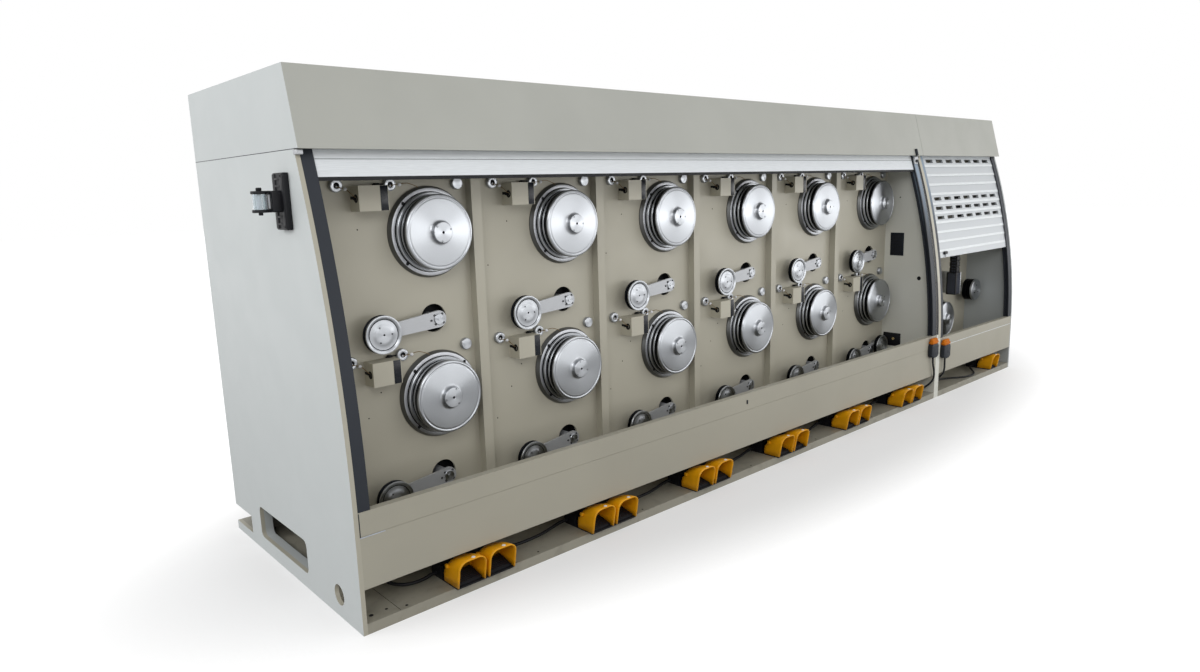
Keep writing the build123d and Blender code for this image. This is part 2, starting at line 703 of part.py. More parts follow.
def die_boxes():
    """A die box beside each capstan, with the passage for the wire and a recess for its window."""
    front = WALL_Y - DIE_BOX_DEPTH
    boxes = []
    for capstan_z in row_heights():
        low = capstan_z + DIE_BOX_ABOVE_CAPSTAN
        for bay in range(BAYS):
            shift = bay * BAY_PITCH
            x = (DIE_BOX_X[0] + shift, DIE_BOX_X[1] + shift)
            middle = low + DIE_BOX_H / 2
            box = slab(x, (front, WALL_Y), (low, low + DIE_BOX_H))
            window = (DIE_WINDOW_X[0] + shift, DIE_WINDOW_X[1] + shift)
            box -= slab(window, (front, front + DIE_WINDOW_T), (low, low + DIE_BOX_H))
            box -= slab(x, KEYHOLE_SLOT, (middle - KEYHOLE_SLOT_H / 2, middle + KEYHOLE_SLOT_H / 2))
            bore = Pos(sum(x) / 2, KEYHOLE_Y, middle) * Rot(0, 90, 0) * Cylinder(KEYHOLE_R, x[1] - x[0])
            boxes.append(box - bore)
    return boxes


def wire_guide(x, z, ringed):
    """A round guide on the wall, with an eye in its face where the wire runs over it."""
    front = WALL_Y - GUIDE_T
    edge = [(GUIDE_R - EDGE_BREAK, front), (GUIDE_R, front + EDGE_BREAK), (GUIDE_R, WALL_Y), (0, WALL_Y)]
    if ringed:
        eye = front + GUIDE_EYE_DEPTH
        return turned([(0, eye), (GUIDE_EYE_R, eye), (GUIDE_EYE_R, front), *edge], x, z)
    return turned([(0, front), *edge], x, z)


def wire_guides():
    solids = []
    for capstan_z in row_heights():
        z = capstan_z + GUIDE_ABOVE_CAPSTAN
        for bay in range(BAYS):
            shift = bay * BAY_PITCH
            solids += [wire_guide(x + shift, z, True) for x in RING_GUIDE_X]
            solids.append(wire_guide(PLAIN_GUIDE_X + shift, z, False))
    plate_low = EYE_Z - EYE_PLATE_DROP
    plate_z = (plate_low, plate_low + EYE_PLATE_H)
    plate = slab((PARTITION_X - EYE_PLATE_T, PARTITION_X), EYE_PLATE_Y, plate_z)
    plate -= Pos(PARTITION_X - EYE_PLATE_T / 2, EYE_Y, EYE_Z) * Rot(0, 90, 0) * Cylinder(EYE_R, EYE_PLATE_T)
    solids.append(plate)
    return solids


def guard_block(half_width, wall, top, front_reach):
    """The outer or the inner form of a foot guard, its upper edges rounded."""
    low = PLINTH_H + FOOT_BASE_T
    side = [(GUARD_FRONT_FOOT - front_reach, low), (GUARD_FRONT_TOP - front_reach, top)]
    side += [(GUARD_BACK_TOP - wall, top - GUARD_BACK_DROP), (GUARD_BACK_FOOT - wall, low)]
    block = along_x(make_face(Polyline(*side, close=True)), -half_width, half_width)
    upper = block.edges().filter_by(lambda edge: edge.center().Z > top - GUARD_BACK_DROP - 1)
    return fillet(upper.filter_by(lambda edge: abs(edge.center().X) > half_width - 1), GUARD_ROUND - wall)


def foot_guard():
    """A sheet guard over one pedal, open at the front."""
    outer = guard_block(GUARD_W / 2, 0, GUARD_TOP, 0)
    inner = guard_block(GUARD_W / 2 - GUARD_WALL, GUARD_WALL, GUARD_TOP - GUARD_WALL, GUARD_W)
    return outer - inner


def foot_switch(pedals):
    """The base of a foot switch: plate, switch body behind and its pedals."""
    half = (pedals[-1] - pedals[0] + GUARD_W) / 2
    plate_top = PLINTH_H + FOOT_BASE_T
    base = slab((-half, half), (FOOT_BASE_FRONT, FOOT_BASE_BACK), (PLINTH_H, plate_top))
    base += slab((-half, half), (FOOT_BODY_Y, FOOT_BASE_BACK), (plate_top, FOOT_BODY_TOP))
    side = [(PEDAL_Y[0], plate_top), (PEDAL_Y[0], plate_top + PEDAL_LIP), (PEDAL_Y[1], plate_top + PEDAL_RISE)]
    pedal = make_face(Polyline(*side, (PEDAL_Y[1], plate_top), close=True))
    for x in pedals:
        base += along_x(pedal, x - PEDAL_W / 2, x + PEDAL_W / 2)
    return base


def foot_places():
    """Where each foot switch stands, with the places of its pedals along it."""
    twin = (-TWIN_PITCH / 2, TWIN_PITCH / 2)
    places = [(FOOT_SWITCH_X + number * FOOT_SWITCH_PITCH, 0, twin) for number in range(FOOT_SWITCHES)]
    places.append((OUTLET_FOOT_X, OUTLET_FOOT_Y, (0,)))
    return places


def foot_guards():
    guard = foot_guard()
    return [Pos(x + pedal, y, 0) * guard for x, y, pedals in foot_places() for pedal in pedals]


def foot_switches():
    return [Pos(x, y, 0) * foot_switch(pedals) for x, y, pedals in foot_places()]


def connector(x, top):
    """A connector on the face of the belt: housing with a tapered foot, and a cap on top."""
    half = CONNECTOR_W / 2
    foot = top - CONNECTOR_H
    outline = [(-half, foot + CONNECTOR_BREAK), (-half, top), (half, top), (half, foot + CONNECTOR_BREAK)]
    outline += [(CONNECTOR_NECK, foot), (-CONNECTOR_NECK, foot)]
    front_plane = Plane(origin=(x, 0, 0), x_dir=(1, 0, 0), z_dir=(0, -1, 0))
    housing = extrude(front_plane * make_face(Polyline(*outline, close=True)), CONNECTOR_T)
    front_edges = housing.edges().filter_by(lambda edge: edge.center().Y < EDGE_BREAK - CONNECTOR_T)
    housing = fillet(front_edges, CONNECTOR_ROUND)
    cap = slab((x - CAP_W / 2, x + CAP_W / 2), (-CONNECTOR_T + EDGE_BREAK, -EDGE_BREAK), (top, top + CAP_H))
    upper = cap.edges().filter_by(Axis.Y).filter_by(lambda edge: edge.center().Z > top + CAP_H / 2)
    return housing + fillet(upper, CAP_ROUND)


def cord_connectors():
    return [connector(x, top) for x, top in zip(CONNECTOR_X, CONNECTOR_TOP_Z)]


def cord(points):
    """A cord's tube along its route, each corner an arc as large as its runs allow."""
    runs = [Vector(*b) - Vector(*a) for a, b in zip(points, points[1:])]
    radii = []
    for before, after in zip(runs, runs[1:]):
        turn = radians(before.get_angle(after))
        radii.append(0.45 * min(before.length, after.length) / tan(turn / 2))
    path = FilletPolyline(*points, radius=radii)
    start = Plane(origin=path @ 0, z_dir=path % 0)
    tube = sweep(start * Circle(CORD_D / 2), path=path)
    expected = pi * (CORD_D / 2) ** 2 * path.length
    print("cord length", round(path.length), "volume ratio", round(tube.volume / expected, 4))
    print("  bend radii", [round(radius) for radius in radii])
    return tube


def left_cord():
    """From the left connector down past the partition and in behind the sixth foot switch."""
    x = CONNECTOR_X[0]
    y = -CONNECTOR_T / 2
    top = CONNECTOR_TOP_Z[0] - CONNECTOR_H
    switch_end = FOOT_SWITCH_X + (FOOT_SWITCHES - 1) * FOOT_SWITCH_PITCH + (TWIN_PITCH + GUARD_W) / 2
    points = [(x, y, top), (x, y, 290), (x + 18, y - 3, 240), (x + 36, y, 190), (x + 44, y + 13, 145)]
    points += [(x + 34, 28, 104), (x + 8, 66, 75), (x - 36, 102, 61), (x - 84, 128, 57)]
    points += [(x - 130, 142, 62), (x - 152, 145, 65), (switch_end, 145, 65)]
    return [cord(points)]


def right_cord():
    """From the right connector down to the ledge and along it to the outlet foot switch."""
    x = CONNECTOR_X[1]
    y = -CONNECTOR_T / 2
    top = CONNECTOR_TOP_Z[1] - CONNECTOR_H
    rest = CORD_REST_Z
    switch_end = OUTLET_FOOT_X - GUARD_W / 2
    points = [(x, y, top), (x, y, 256), (x - 4, y - 3, 215), (x - 12, y + 1, 175), (x - 10, 18, 138)]
    points += [(x + 14, 58, 104), (x + 62, 98, 78), (x + 132, 128, 60), (x + 212, 144, rest)]
    points += [(x + 292, 138, rest), (x + 362, 108, rest), (x + 422, 66, rest), (x + 487, 30, rest)]
    points += [(x + 562, 14, rest), (x + 637, 22, rest), (x + 702, 52, rest + 1), (x + 752, 92, 56)]
    points += [(x + 800, 128, 62), (x + 848, 141, 65), (switch_end, 141, 65)]
    return [cord(points)]


def base_cables():
    """The lead of the foot switches, clipped from the recess wall to each main switch in turn."""
    half = (TWIN_PITCH + GUARD_W) / 2
    first = FOOT_SWITCH_X - half
    start = first - 186
    points = [(start, TOE_DEPTH, 60), (start, 222, 60), (start + 14, 187, 57), (start + 44, 160, 53)]
    points += [(start + 88, 147, CORD_REST_Z), (start + 132, 143, 55), (start + 162, 145, 62), (first, 145, 62)]
    leads = [cord(points)]
    for number in range(FOOT_SWITCHES - 1):
        left = FOOT_SWITCH_X + number * FOOT_SWITCH_PITCH + half
        right = left + FOOT_SWITCH_PITCH - 2 * half
        points = [(left, 141, 62), (left + 40, 141, 62), (left + 88, 139, 55), (left + 150, 136, CORD_REST_Z)]
        points += [(left + 235, 139, CORD_REST_Z), (right - 145, 150, CORD_REST_Z), (right - 90, 161, 55)]
        points += [(right - 42, 165, 62), (right, 165, 62)]
        leads.append(cord(points))
    return leads


def air_filter():
    """The air filter on the left end panel: plate, body and a round bowl between two caps."""
    plate = slab((-FILTER_PLATE_T, 0), FILTER_PLATE_Y, FILTER_PLATE_Z)
    body = slab((-FILTER_BODY_OUT, -FILTER_PLATE_T), FILTER_BODY_Y, FILTER_BODY_Z)
    low, high = FILTER_BODY_Z
    y = sum(FILTER_BODY_Y) / 2
    middle = (low + high) / 2
    bowl = Pos(-BOWL_OUT, y, middle) * Cylinder(BOWL_R, high - low)
    for z in (low + BOWL_CAP_H / 2, high - BOWL_CAP_H / 2):
        bowl += Pos(-BOWL_OUT, y, z) * Cylinder(BOWL_CAP_R, BOWL_CAP_H)
        reach = (-BOWL_OUT, -FILTER_BODY_OUT)
        bowl += slab(reach, (y - BOWL_R / 2, y + BOWL_R / 2), (z - BOWL_CAP_H / 2, z + BOWL_CAP_H / 2))
    return [plate + body + bowl]


def chain_top():
    """The top of the chain: below the hood, and no higher than the shutter's back leaves room for."""
    curve_y = CHAIN_Y[0] - CHAIN_SHUTTER_GAP - SLAT_INSET - SLAT_T
    behind_shutter = BEND_Z + sqrt(FRONT_RADIUS**2 - (FRONT_RADIUS - curve_y) ** 2)
    return min(HOOD_BASE - CHAIN_BELOW_HOOD, behind_shutter)


def cable_chain():
    """The cable chain: stepped links from a wall hanger down to a broader end piece on a wall plate."""
    top = chain_top()
    chain = slab(CHAIN_END_X, CHAIN_END_Y, CHAIN_END_Z)
    plate_x = (CHAIN_END_X[1], CHAIN_END_X[1] + CHAIN_PLATE_T)
    chain += slab(plate_x, (CHAIN_END_Y[0], OUTLET_WALL_Y), CHAIN_END_Z)
    chain += slab(CHAIN_X, (CHAIN_Y[1], OUTLET_WALL_Y), (top - CHAIN_HANGER_H, top))
    low = CHAIN_END_Z[1]
    number = 0
    while low < top:
        high = min(low + CHAIN_LINK, top)
        grow = CHAIN_LINK_STEP * (number % 2)
        x = (CHAIN_X[0] + grow, CHAIN_X[1] - grow)
        y = (CHAIN_Y[0] + grow, CHAIN_Y[1])
        chain += slab(x, y, (low, high))
        low = high
        number += 1
    return [chain]


def moving_pieces():
    """Every piece that turns: capstans, dancer arms, pulleys and rollers."""
    pieces = {}
    for row, number, shift, capstan_z, dancer_z in bay_rows():
        name = f"{row}_{number}"
        pieces[f"capstan_{name}"] = capstan(CAPSTAN_X + shift, capstan_z, WALL_Y, CAPSTAN_DISC_R)
        x = DANCER_X + shift
        pieces[f"dancer_arm_{name}"] = dancer_arm(x, dancer_z)
        pieces[f"dancer_pulley_{name}"] = grooved_pulley(x - DANCER_REACH, dancer_z - DANCER_DROP, PULLEY_R)
    pieces["outlet_capstan"] = capstan(OUTLET_CAPSTAN_X, OUTLET_CAPSTAN_Z, OUTLET_WALL_Y, OUTLET_DISC_R)
    pieces["corner_roller"] = grooved_pulley(CORNER_ROLLER_X, CORNER_ROLLER_Z, CORNER_ROLLER_R)
    pieces["outlet_roller"] = outlet_roller()
    return pieces


FIXED_PIECES = [
    base_frame,
    end_panels,
    unit_partition,
    hoods,
    roller_shutters,
    shutter_guides,
    front_belts,
    mounting_walls,
    bay_posts,
    rear_panels,
    bearing_housings,
    die_boxes,
    wire_guides,
    foot_guards,
    foot_switches,
    cord_connectors,
    left_cord,
    right_cord,
    base_cables,
    air_filter,
    cable_chain,
]


def write(name, solids):
    """One STEP file for each sub-part, moved to the origin at the centre of the footprint."""
    placed = [Pos(-LENGTH / 2, -DEPTH / 2, 0) * solid for solid in solids]
    shape = placed[0] if len(placed) == 1 else Compound(children=placed)
    export_step(shape, f"parts/{name}.step")


os.makedirs("parts", exist_ok=True)
for piece in FIXED_PIECES:
    write(piece.__name__, piece())
for name, solid in moving_pieces().items():
    write(name, [solid])
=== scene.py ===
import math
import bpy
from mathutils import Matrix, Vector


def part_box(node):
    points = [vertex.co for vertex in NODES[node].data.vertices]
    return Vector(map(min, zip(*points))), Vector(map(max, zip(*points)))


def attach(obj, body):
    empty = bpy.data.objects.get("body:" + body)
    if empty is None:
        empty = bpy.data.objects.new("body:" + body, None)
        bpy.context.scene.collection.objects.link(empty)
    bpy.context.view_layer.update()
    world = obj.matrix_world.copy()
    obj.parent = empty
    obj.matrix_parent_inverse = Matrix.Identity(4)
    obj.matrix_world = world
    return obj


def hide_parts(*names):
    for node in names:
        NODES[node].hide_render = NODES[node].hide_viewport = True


bl_info = {
    "name": "Wire Drawing Machine",
    "version": (1, 0, 0),
    "blender": (4, 5, 0),
    "location": "View3D > Sidebar > Wire Machine",
    "description": "Dresses the frame of a wire drawing machine with its finishes and small parts",
    "category": "Object",
}

import bmesh
import bpy
from mathutils import Matrix, Vector

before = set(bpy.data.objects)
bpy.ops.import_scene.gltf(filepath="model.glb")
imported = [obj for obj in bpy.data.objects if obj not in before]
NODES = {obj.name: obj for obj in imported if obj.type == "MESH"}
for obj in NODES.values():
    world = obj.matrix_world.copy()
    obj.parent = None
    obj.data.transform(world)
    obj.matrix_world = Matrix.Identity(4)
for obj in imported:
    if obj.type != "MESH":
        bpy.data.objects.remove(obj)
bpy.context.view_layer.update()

# The frame's origin is the centre of the footprint. Places below are in millimetres from the
# left front corner of the floor: x to the right, y to the rear, z up.
MM = 0.001
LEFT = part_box("end_panels")[0].x
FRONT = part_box("end_panels")[0].y
CORNER = Vector((LEFT, FRONT, 0))
WELD = 0.00001
ORIGIN = Vector()
RIGHT_AXIS = Vector((1, 0, 0))
REAR_AXIS = Vector((0, 1, 0))
UP_AXIS = Vector((0, 0, 1))

# The camera of the photograph
CAMERA_PLACE = (-1138, -2646, 1634)
CAMERA_YAW = math.radians(41.869)
CAMERA_PITCH = math.radians(-10.583)
CAMERA_ROLL = math.radians(-1.613)
CAMERA_LENS = 23.814
SENSOR_WIDTH = 36

# Cabinet
LENGTH = 6000
DEPTH = 1390
HOOD_BASE = 1800
PANEL_T = 18
BAYS = 6
BAY_PITCH = 745
ROWS = ("upper", "lower")
FRONT_RADIUS = 4450
BEND_Z = 400
LEDGE_Z = 42
WALL_Y = 440
WALL_T = 12
OUTLET_WALL_Y = 400
PARTITION_X = 4600

# Heights of each row's capstans, dancer pivots, die boxes and wire guides
ROW_HEIGHTS = {"upper": (1465.5, 1086.1, 1566.5, 1671), "lower": (742.5, 363.1, 843.5, 948)}

# Capstans and their flanges
TURNED_SEGMENTS = 96
CAPSTAN_X = 642.5
DISC_R = 163
OUTLET_CAPSTAN_X = 5420
OUTLET_CAPSTAN_Z = 468
OUTLET_DISC_R = 146
HUB_R = 45
HUB_LENGTH = 25
HUB_SCREW_RING = 38.5
HUB_SCREWS = 3
HUB_SCREW_R = 4.6
HUB_FOOT = 13
DISC_T = 27
DISC_ROUND = 10
RIM_STEP = 9
GROOVE_W = 12
GROOVE_DEPTH = 12
MID_RING_T = 6
RIM_T = 12
FACE_RING_INSET = 16
FACE_DOT_RING = 128
FACE_DOT_R = 4
FLANGE_EXTRA = 34.5
FLANGE_T = 25
FLANGE_SLOPE = 9
FLANGE_BOLT_EXTRA = 16
FLANGE_BOLT_ANGLE = 45.5
FLANGE_BOLTS = 4
SPIGOT_R = 70
SPIGOT_END = 80
SHAFT_R = 35
RUNNING_GAP = 6
BORE_GAP = 0.5
# How far each capstan is turned, and where the small mark on its face is, in degrees
CAPSTAN_TURNS = {
    "upper": ((18, 56), (358, 163), (358, 161), (60, 214), (0, 96), (40, 140)),
    "lower": ((68, 25), (343, 164), (30, 200), (80, 120), (15, 250), (50, 80)),
    "outlet": ((20, 60),),
}
EDGE_BREAK = 3

# Dancers
DANCER_X = 639.6
DANCER_REACH = 283.2
DANCER_DROP = 27.3
DANCER_CUP_R = 76
DANCER_HOLE_R = 62.7
DANCER_CUP_DEPTH = 48
DANCER_CUP_BACK = 14
DANCER_LEAN = math.atan2(-DANCER_DROP, -DANCER_REACH)
PIVOT_R = 22
ARM_WALL_GAP = 33
ARM_T = 12
ARM_BOSS_R = 24
ARM_BOLTS = 4
ARM_BOLT_RING = 28
ARM_BOLT_R = 5.2
ARM_FAR_BOLT = 38
ARM_FAR_BOLT_R = 5

# Pulleys and rollers
PULLEY_R = 81.3
PULLEY_GROOVE_R = 68
PULLEY_BODY_T = 32
PULLEY_DISH = 4
PULLEY_LIP = 7
PULLEY_HUB_R = 44
PULLEY_RIM = 9
PULLEY_SCREW_RING = 36
PULLEY_SCREWS = 3
PULLEY_SCREW_R = 3.6
PULLEY_FRONT = WALL_Y - ARM_WALL_GAP - ARM_T - RUNNING_GAP - PULLEY_BODY_T
PIN_R = 10
STUB_R = 34
CORNER_ROLLER_X = 4470
CORNER_ROLLER_Z = 379
CORNER_ROLLER_R = 80
OUTLET_ROLLER_X = 5850
OUTLET_ROLLER_Z = 675
OUTLET_ROLLER_R = 90
OUTLET_ROLLER_FRONT = 250
OUTLET_ROLLER_T = 85
OUTLET_ROLLER_GROOVES = 3
OUTLET_ROLLER_SCREWS = 3
OUTLET_ROLLER_SCREW_RING = 40
OUTLET_ROLLER_SCREW_R = 5

# Die boxes and wire guides
DIE_BOX_X = (295, 425)
DIE_BOX_FRONT = 360
DIE_BOX_H = 102
DIE_WINDOW_X = (388, 422)
KEYHOLE_Y = 392
RING_GUIDE_X = (234, 467)
PLAIN_GUIDE_X = 792
GUIDE_R = 27
GUIDE_FRONT = 420
EYE_PLATE = ((PARTITION_X - 8, PARTITION_X), (281, 421), (362, 464))
EYE_PLACE = (PARTITION_X - 8, 337, 420)

# The short wire ends at the guides and the beads on them, from each bay's left and guide height
WIRE_R = 1.7
WIRE_BEADS = ((264, 414, -15), (504, 414, -2))
WIRE_ENDS = (
    ((262, 414, -14), (272, 410, -20), (284, 402, -34), (292, 394, -46), (312, 392, -53)),
    ((505, 416, 0), (522, 415, 4), (540, 413, 5), (560, 411, -1), (578, 409, -9), (588, 408, -15)),
    ((236, 424, -6), (250, 418, -10), (262, 414, -14)),
    ((470, 424, -4), (486, 418, -1), (505, 416, 0)),
)

# Foot guards
GUARD_HALF = 66.5
GUARD_LOW = 49
GUARD_TOP = 168
GUARD_FRONT_FOOT = -26
GUARD_FRONT_TOP = -48
GUARD_BACK_FOOT = 93
GUARD_BACK_TOP = 66
GUARD_BACK_DROP = 26
GUARD_SHEET = 5
GUARD_ROUND = 38
GUARD_PLACES = [(543 + pair * 732 + side, 0) for pair in range(6) for side in (-75.5, 75.5)]
GUARD_PLACES += [(5675, 20)]
PEDAL_RIB_Y = range(-4, 66, 10)

# Connectors on the belts: their middle and the top of the housing
CONNECTORS = ((4520, 446), (4718, 410))
CONNECTOR_H = 116
CONNECTOR_T = 34

# Cords: the same points as the CAD tubes
CORD_D = 14
LEFT_CORD = [
    (4520, -17, 330), (4520, -17, 290), (4538, -20, 240), (4556, -17, 190), (4564, -4, 145),
    (4554, 28, 104), (4528, 66, 75), (4484, 102, 61), (4436, 128, 57), (4390, 142, 62),
    (4368, 145, 65), (4345, 145, 65),
]
RIGHT_CORD = [
    (4718, -17, 294), (4718, -17, 256), (4714, -20, 215), (4706, -16, 175), (4708, 18, 138),
    (4732, 58, 104), (4780, 98, 78), (4850, 128, 60), (4930, 144, 51), (5010, 138, 51),
    (5080, 108, 51), (5140, 66, 51), (5205, 30, 51), (5280, 14, 51), (5355, 22, 51),
    (5420, 52, 52), (5470, 92, 56), (5518, 128, 62), (5566, 141, 65), (5608.5, 141, 65),
]

# Main shutter: its ends, its rubber foot and the joint line above it
SHUTTER_X = (54.5, 4553.5)
SHUTTER_FOOT = (1686, 1700)
SHUTTER_JOINT = (1764, 1766)
SHUTTER_INSET = 9.6

# Outlet shutter: its slats, how far in each one's foot and top lie, and the slots of four of them
OUTLET_SHUTTER_X = (4705.5, 5925.5)
SLATS_LOW = 1087
SLATS = 10
SLAT_PITCH = 70
SLAT_INSETS = (10, 15)
SLOT_SLATS = (3, 4, 5, 9)
# Dark bars above and below the slots, a painted shadow of their cut edges
SLOT_SHADOW_BARS = ((31.4, 34.9), (51.9, 55.4))
SLOT_MIDDLE = 5315.5
SLOT_PITCH = 165
SLOTS_ASIDE = 3
SLOT_HALF = 54

# Air filter: its plate on the end panel, and the upright axis of the bowl
FILTER_Y = (295, 395)
FILTER_Z = (1512, 1720)
FILTER_AXIS = (-94, 346)
FILTER_CAPS = (1589, 1656)

# Cable chain of the outlet unit
CHAIN_X = 5462
CHAIN_FRONT = 243
CHAIN_PITCH = 46
CHAIN_LINKS = 19
CHAIN_END_X = (5420, 5497)
CHAIN_END_Z = (676, 862)

# Holes and dots, each with its place and radius where they differ
PARTITION_HOLES = ((157, 900, 15), (64, 455, 8), (330, 1500, 5), (120, 1240, 5))
LEDGE_HOLES = ((58, 50, 9), (123, 53, 6), (194, 22, 6), (846, 22, 5), (1507, 22, 5))
LEDGE_HOLES += ((2389, 22, 5), (3049, 22, 5), (3731, 22, 5), (4420, 40, 9))
WALL_DOTS = ((315, 1492), (297, 697), (362, 798), (197, 1295), (206, 557))

# Rear panels: first and last edge and number in a row, and how far in the locks sit
REAR_PANELS = ((PANEL_T, PARTITION_X, 6), (4665, LENGTH - PANEL_T, 2))
LOCK_INSET = 45
LOCK_Z = (190, 1740)

# How the pale floor glows: the ray that sees it, its shape, where it is dim and white, how dim
FLOOR_REACH = 40
FLOOR_GREY = 0.42
FLOOR_GLOW = (
    ("Is Camera Ray", (0.36, 1.0, 1.0), 1.0, 1.9, 0.42),
    ("Is Glossy Ray", (1.0, 1.0, 1.0), 4.0, 9.0, 0.3),
)

# Soft lamps: name, place, aim, size in metres and power in watts
LAMPS = (
    ("key", (-3000, -4200, 4300), (1500, 300, 1200), (5, 3), 150),
    ("far_end", (4800, -4200, 4800), (4300, 300, 1200), (4, 3), 46),
    ("left_side", (-4200, 2200, 3600), (0, 900, 1500), (3, 3), 110),
    ("front_strip", (5600, -4600, 1400), (2400, 330, 1350), (10, 1.6), 125),
)


def at(x, y, z):
    """A place in millimetres from the left front corner of the floor, as a point in the frame."""
    return CORNER + Vector((x, y, z)) * MM


def local(x, y, z):
    """A place in millimetres from a small shape's own origin."""
    return Vector((x, y, z)) * MM


def from_left(x):
    """How far right in the frame a place x millimetres from the left side is."""
    return LEFT + x * MM


def linear(code):
    """An sRGB hex colour as the linear colour that Blender's sockets take."""
    channels = [int(code[start : start + 2], 16) / 255 for start in (0, 2, 4)]
    return [c / 12.92 if c <= 0.04045 else ((c + 0.055) / 1.055) ** 2.4 for c in channels] + [1.0]


def shaded(colour, factor):
    """A linear colour made lighter or darker."""
    return [channel * factor for channel in colour[:3]] + [1.0]


def node(tree, kind, links=None, **settings):
    """Adds a node with its settings; links gives each input a socket to follow or a value."""
    made = tree.nodes.new(kind)
    for name, value in settings.items():
        setattr(made, name, value)
    for key, value in (links or {}).items():
        if isinstance(value, bpy.types.NodeSocket):
            tree.links.new(value, made.inputs[key])
        else:
            made.inputs[key].default_value = value
    return made


def feed(tree, shader, **sockets):
    """Links sockets to the shader's inputs of the same names."""
    for key, socket in sockets.items():
        tree.links.new(socket, shader.inputs[key.replace("_", " ")])


def new_material(name, **values):
    """A material with a Principled shader whose plain values are set on its own sockets."""
    material = bpy.data.materials.new(name)
    material.use_nodes = True
    tree = material.node_tree
    shader = tree.nodes["Principled BSDF"]
    for key, value in values.items():
        shader.inputs[key.replace("_", " ")].default_value = value
    return tree, shader


def pattern(tree, size, stretch=(1, 1, 1), detail=3.0):
    """A noise on the object whose marks measure size millimetres, drawn out along an axis."""
    place = node(tree, "ShaderNodeTexCoord").outputs["Object"]
    scale = [1 / (size * MM * factor) for factor in stretch]
    mapped = node(tree, "ShaderNodeMapping", {"Vector": place, "Scale": scale})
    links = {"Vector": mapped.outputs["Vector"], "Scale": 1.0, "Detail": detail}
    return node(tree, "ShaderNodeTexNoise", links).outputs["Fac"]


def overlaid(tree, under, over, driver, low, high, share=1.0):
    """A colour that gives way to another, up to a share, as the driver goes from low to high."""
    links = {"Value": driver, "From Min": low, "From Max": high, "To Max": share}
    amount = node(tree, "ShaderNodeMapRange", links, interpolation_type="SMOOTHSTEP")
    links = {0: amount.outputs["Result"], 6: under, 7: over}
    return node(tree, "ShaderNodeMix", links, data_type="RGBA").outputs[2]


def clouded(tree, noise, colour, dark, light):
    """A colour that wavers between a darker and a lighter shade with a noise."""
    return overlaid(tree, shaded(colour, dark), shaded(colour, light), noise, 0.3, 0.7)


def worn(tree, noise, smooth, rough, low=0.3):
    """A roughness that wavers between two values with a noise."""
    links = {"Value": noise, "From Min": low, "From Max": 0.7, "To Min": smooth, "To Max": rough}
    ranged = node(tree, "ShaderNodeMapRange", links, interpolation_type="SMOOTHSTEP")
    return ranged.outputs["Result"]


def bumped(tree, shader, height, depth, strength=1.0):
    """Raises the surface by a height pattern, depth in millimetres."""
    links = {"Height": height, "Distance": depth * MM, "Strength": strength}
    feed(tree, shader, Normal=node(tree, "ShaderNodeBump", links).outputs["Normal"])


def powder_coat(name, colour, side=None, edge=None, dust=0.0):
    """Baked powder coat on sheet steel: a fine orange-peel skin, satin, clouded by handling."""
    tree, shader = new_material(name)
    tone = clouded(tree, pattern(tree, 500), colour, 0.97, 1.03)
    if side:
        # The outer faces of the side sheets are painted a lighter, cooler grey than the folded
        # front edge: painted light for the daylight on them, though the sheets are one paint
        place = node(tree, "ShaderNodeTexCoord").outputs["Object"]
        across = node(tree, "ShaderNodeSeparateXYZ", {"Vector": place}).outputs["X"]
        painted_light_faces = [(PANEL_T + 0.4, PANEL_T + 0.1, edge)] if edge else []
        painted_light_faces += [(0.4, 0.2, side), (LENGTH - 0.4, LENGTH - 0.2, side)]
        for start, end, skin in painted_light_faces:
            tone = overlaid(tree, tone, skin, across, from_left(start), from_left(end))
    if dust:
        # Grey-brown dust and scuffs, 60 mm patches, on what feet pass over
        patches = pattern(tree, 60, detail=6.0)
        tone = overlaid(tree, tone, shaded(colour, 0.55), patches, 0.5, 0.68, dust)
    feed(tree, shader, Base_Color=tone, Roughness=worn(tree, pattern(tree, 180), 0.4, 0.52))
    # Real orange peel is 1 mm wide; it is drawn at 3 mm so that it shows
    bumped(tree, shader, pattern(tree, 3, detail=1.0), 0.05, 0.5)


def turned_metal(name, code, roughness, anisotropy=0.9):
    """Metal faced on a lathe: rings about the axis that draw the light out into fans."""
    settings = {"Metallic": 1.0, "Anisotropic_Rotation": 0.25, "Roughness": roughness}
    tree, shader = new_material(name, Anisotropic=anisotropy, **settings)
    uv = node(tree, "ShaderNodeTexCoord").outputs["UV"]
    along = node(tree, "ShaderNodeSeparateXYZ", {"Vector": uv}).outputs["Y"]
    # Tool marks are a fifth of a millimetre apart; they are drawn 1.2 mm apart so that they show
    links = {"W": along, "Scale": 1 / (1.2 * MM), "Detail": 2.0}
    marks = node(tree, "ShaderNodeTexNoise", links, noise_dimensions="1D").outputs["Fac"]
    tone = clouded(tree, marks, linear(code), 0.94, 1.04)
    tangent = node(tree, "ShaderNodeTangent", direction_type="UV_MAP", uv_map="UVMap")
    feed(tree, shader, Base_Color=tone, Tangent=tangent.outputs["Tangent"])
    bumped(tree, shader, marks, 0.02, 0.15)


def brushed_metal(name, code, roughness, stretch, metallic=1.0, second=None, stretches=()):
    """Metal brushed one way with abrasive; a second tone takes over where all stretches meet."""
    tree, shader = new_material(name, Metallic=metallic, Specular_IOR_Level=0.3)
    scratches = pattern(tree, 1.5, stretch)
    tone = clouded(tree, scratches, linear(code), 0.93, 1.04)
    if second:
        place = node(tree, "ShaderNodeTexCoord").outputs["Object"]
        axes = node(tree, "ShaderNodeSeparateXYZ", {"Vector": place}).outputs
        over = linear(second)
        for axis, start, end in stretches:
            over = overlaid(tree, tone, over, axes[axis], start, end)
        tone = over
    grain = worn(tree, scratches, roughness - 0.05, roughness + 0.08)
    feed(tree, shader, Base_Color=tone, Roughness=grain)
    bumped(tree, shader, scratches, 0.02, 0.4)


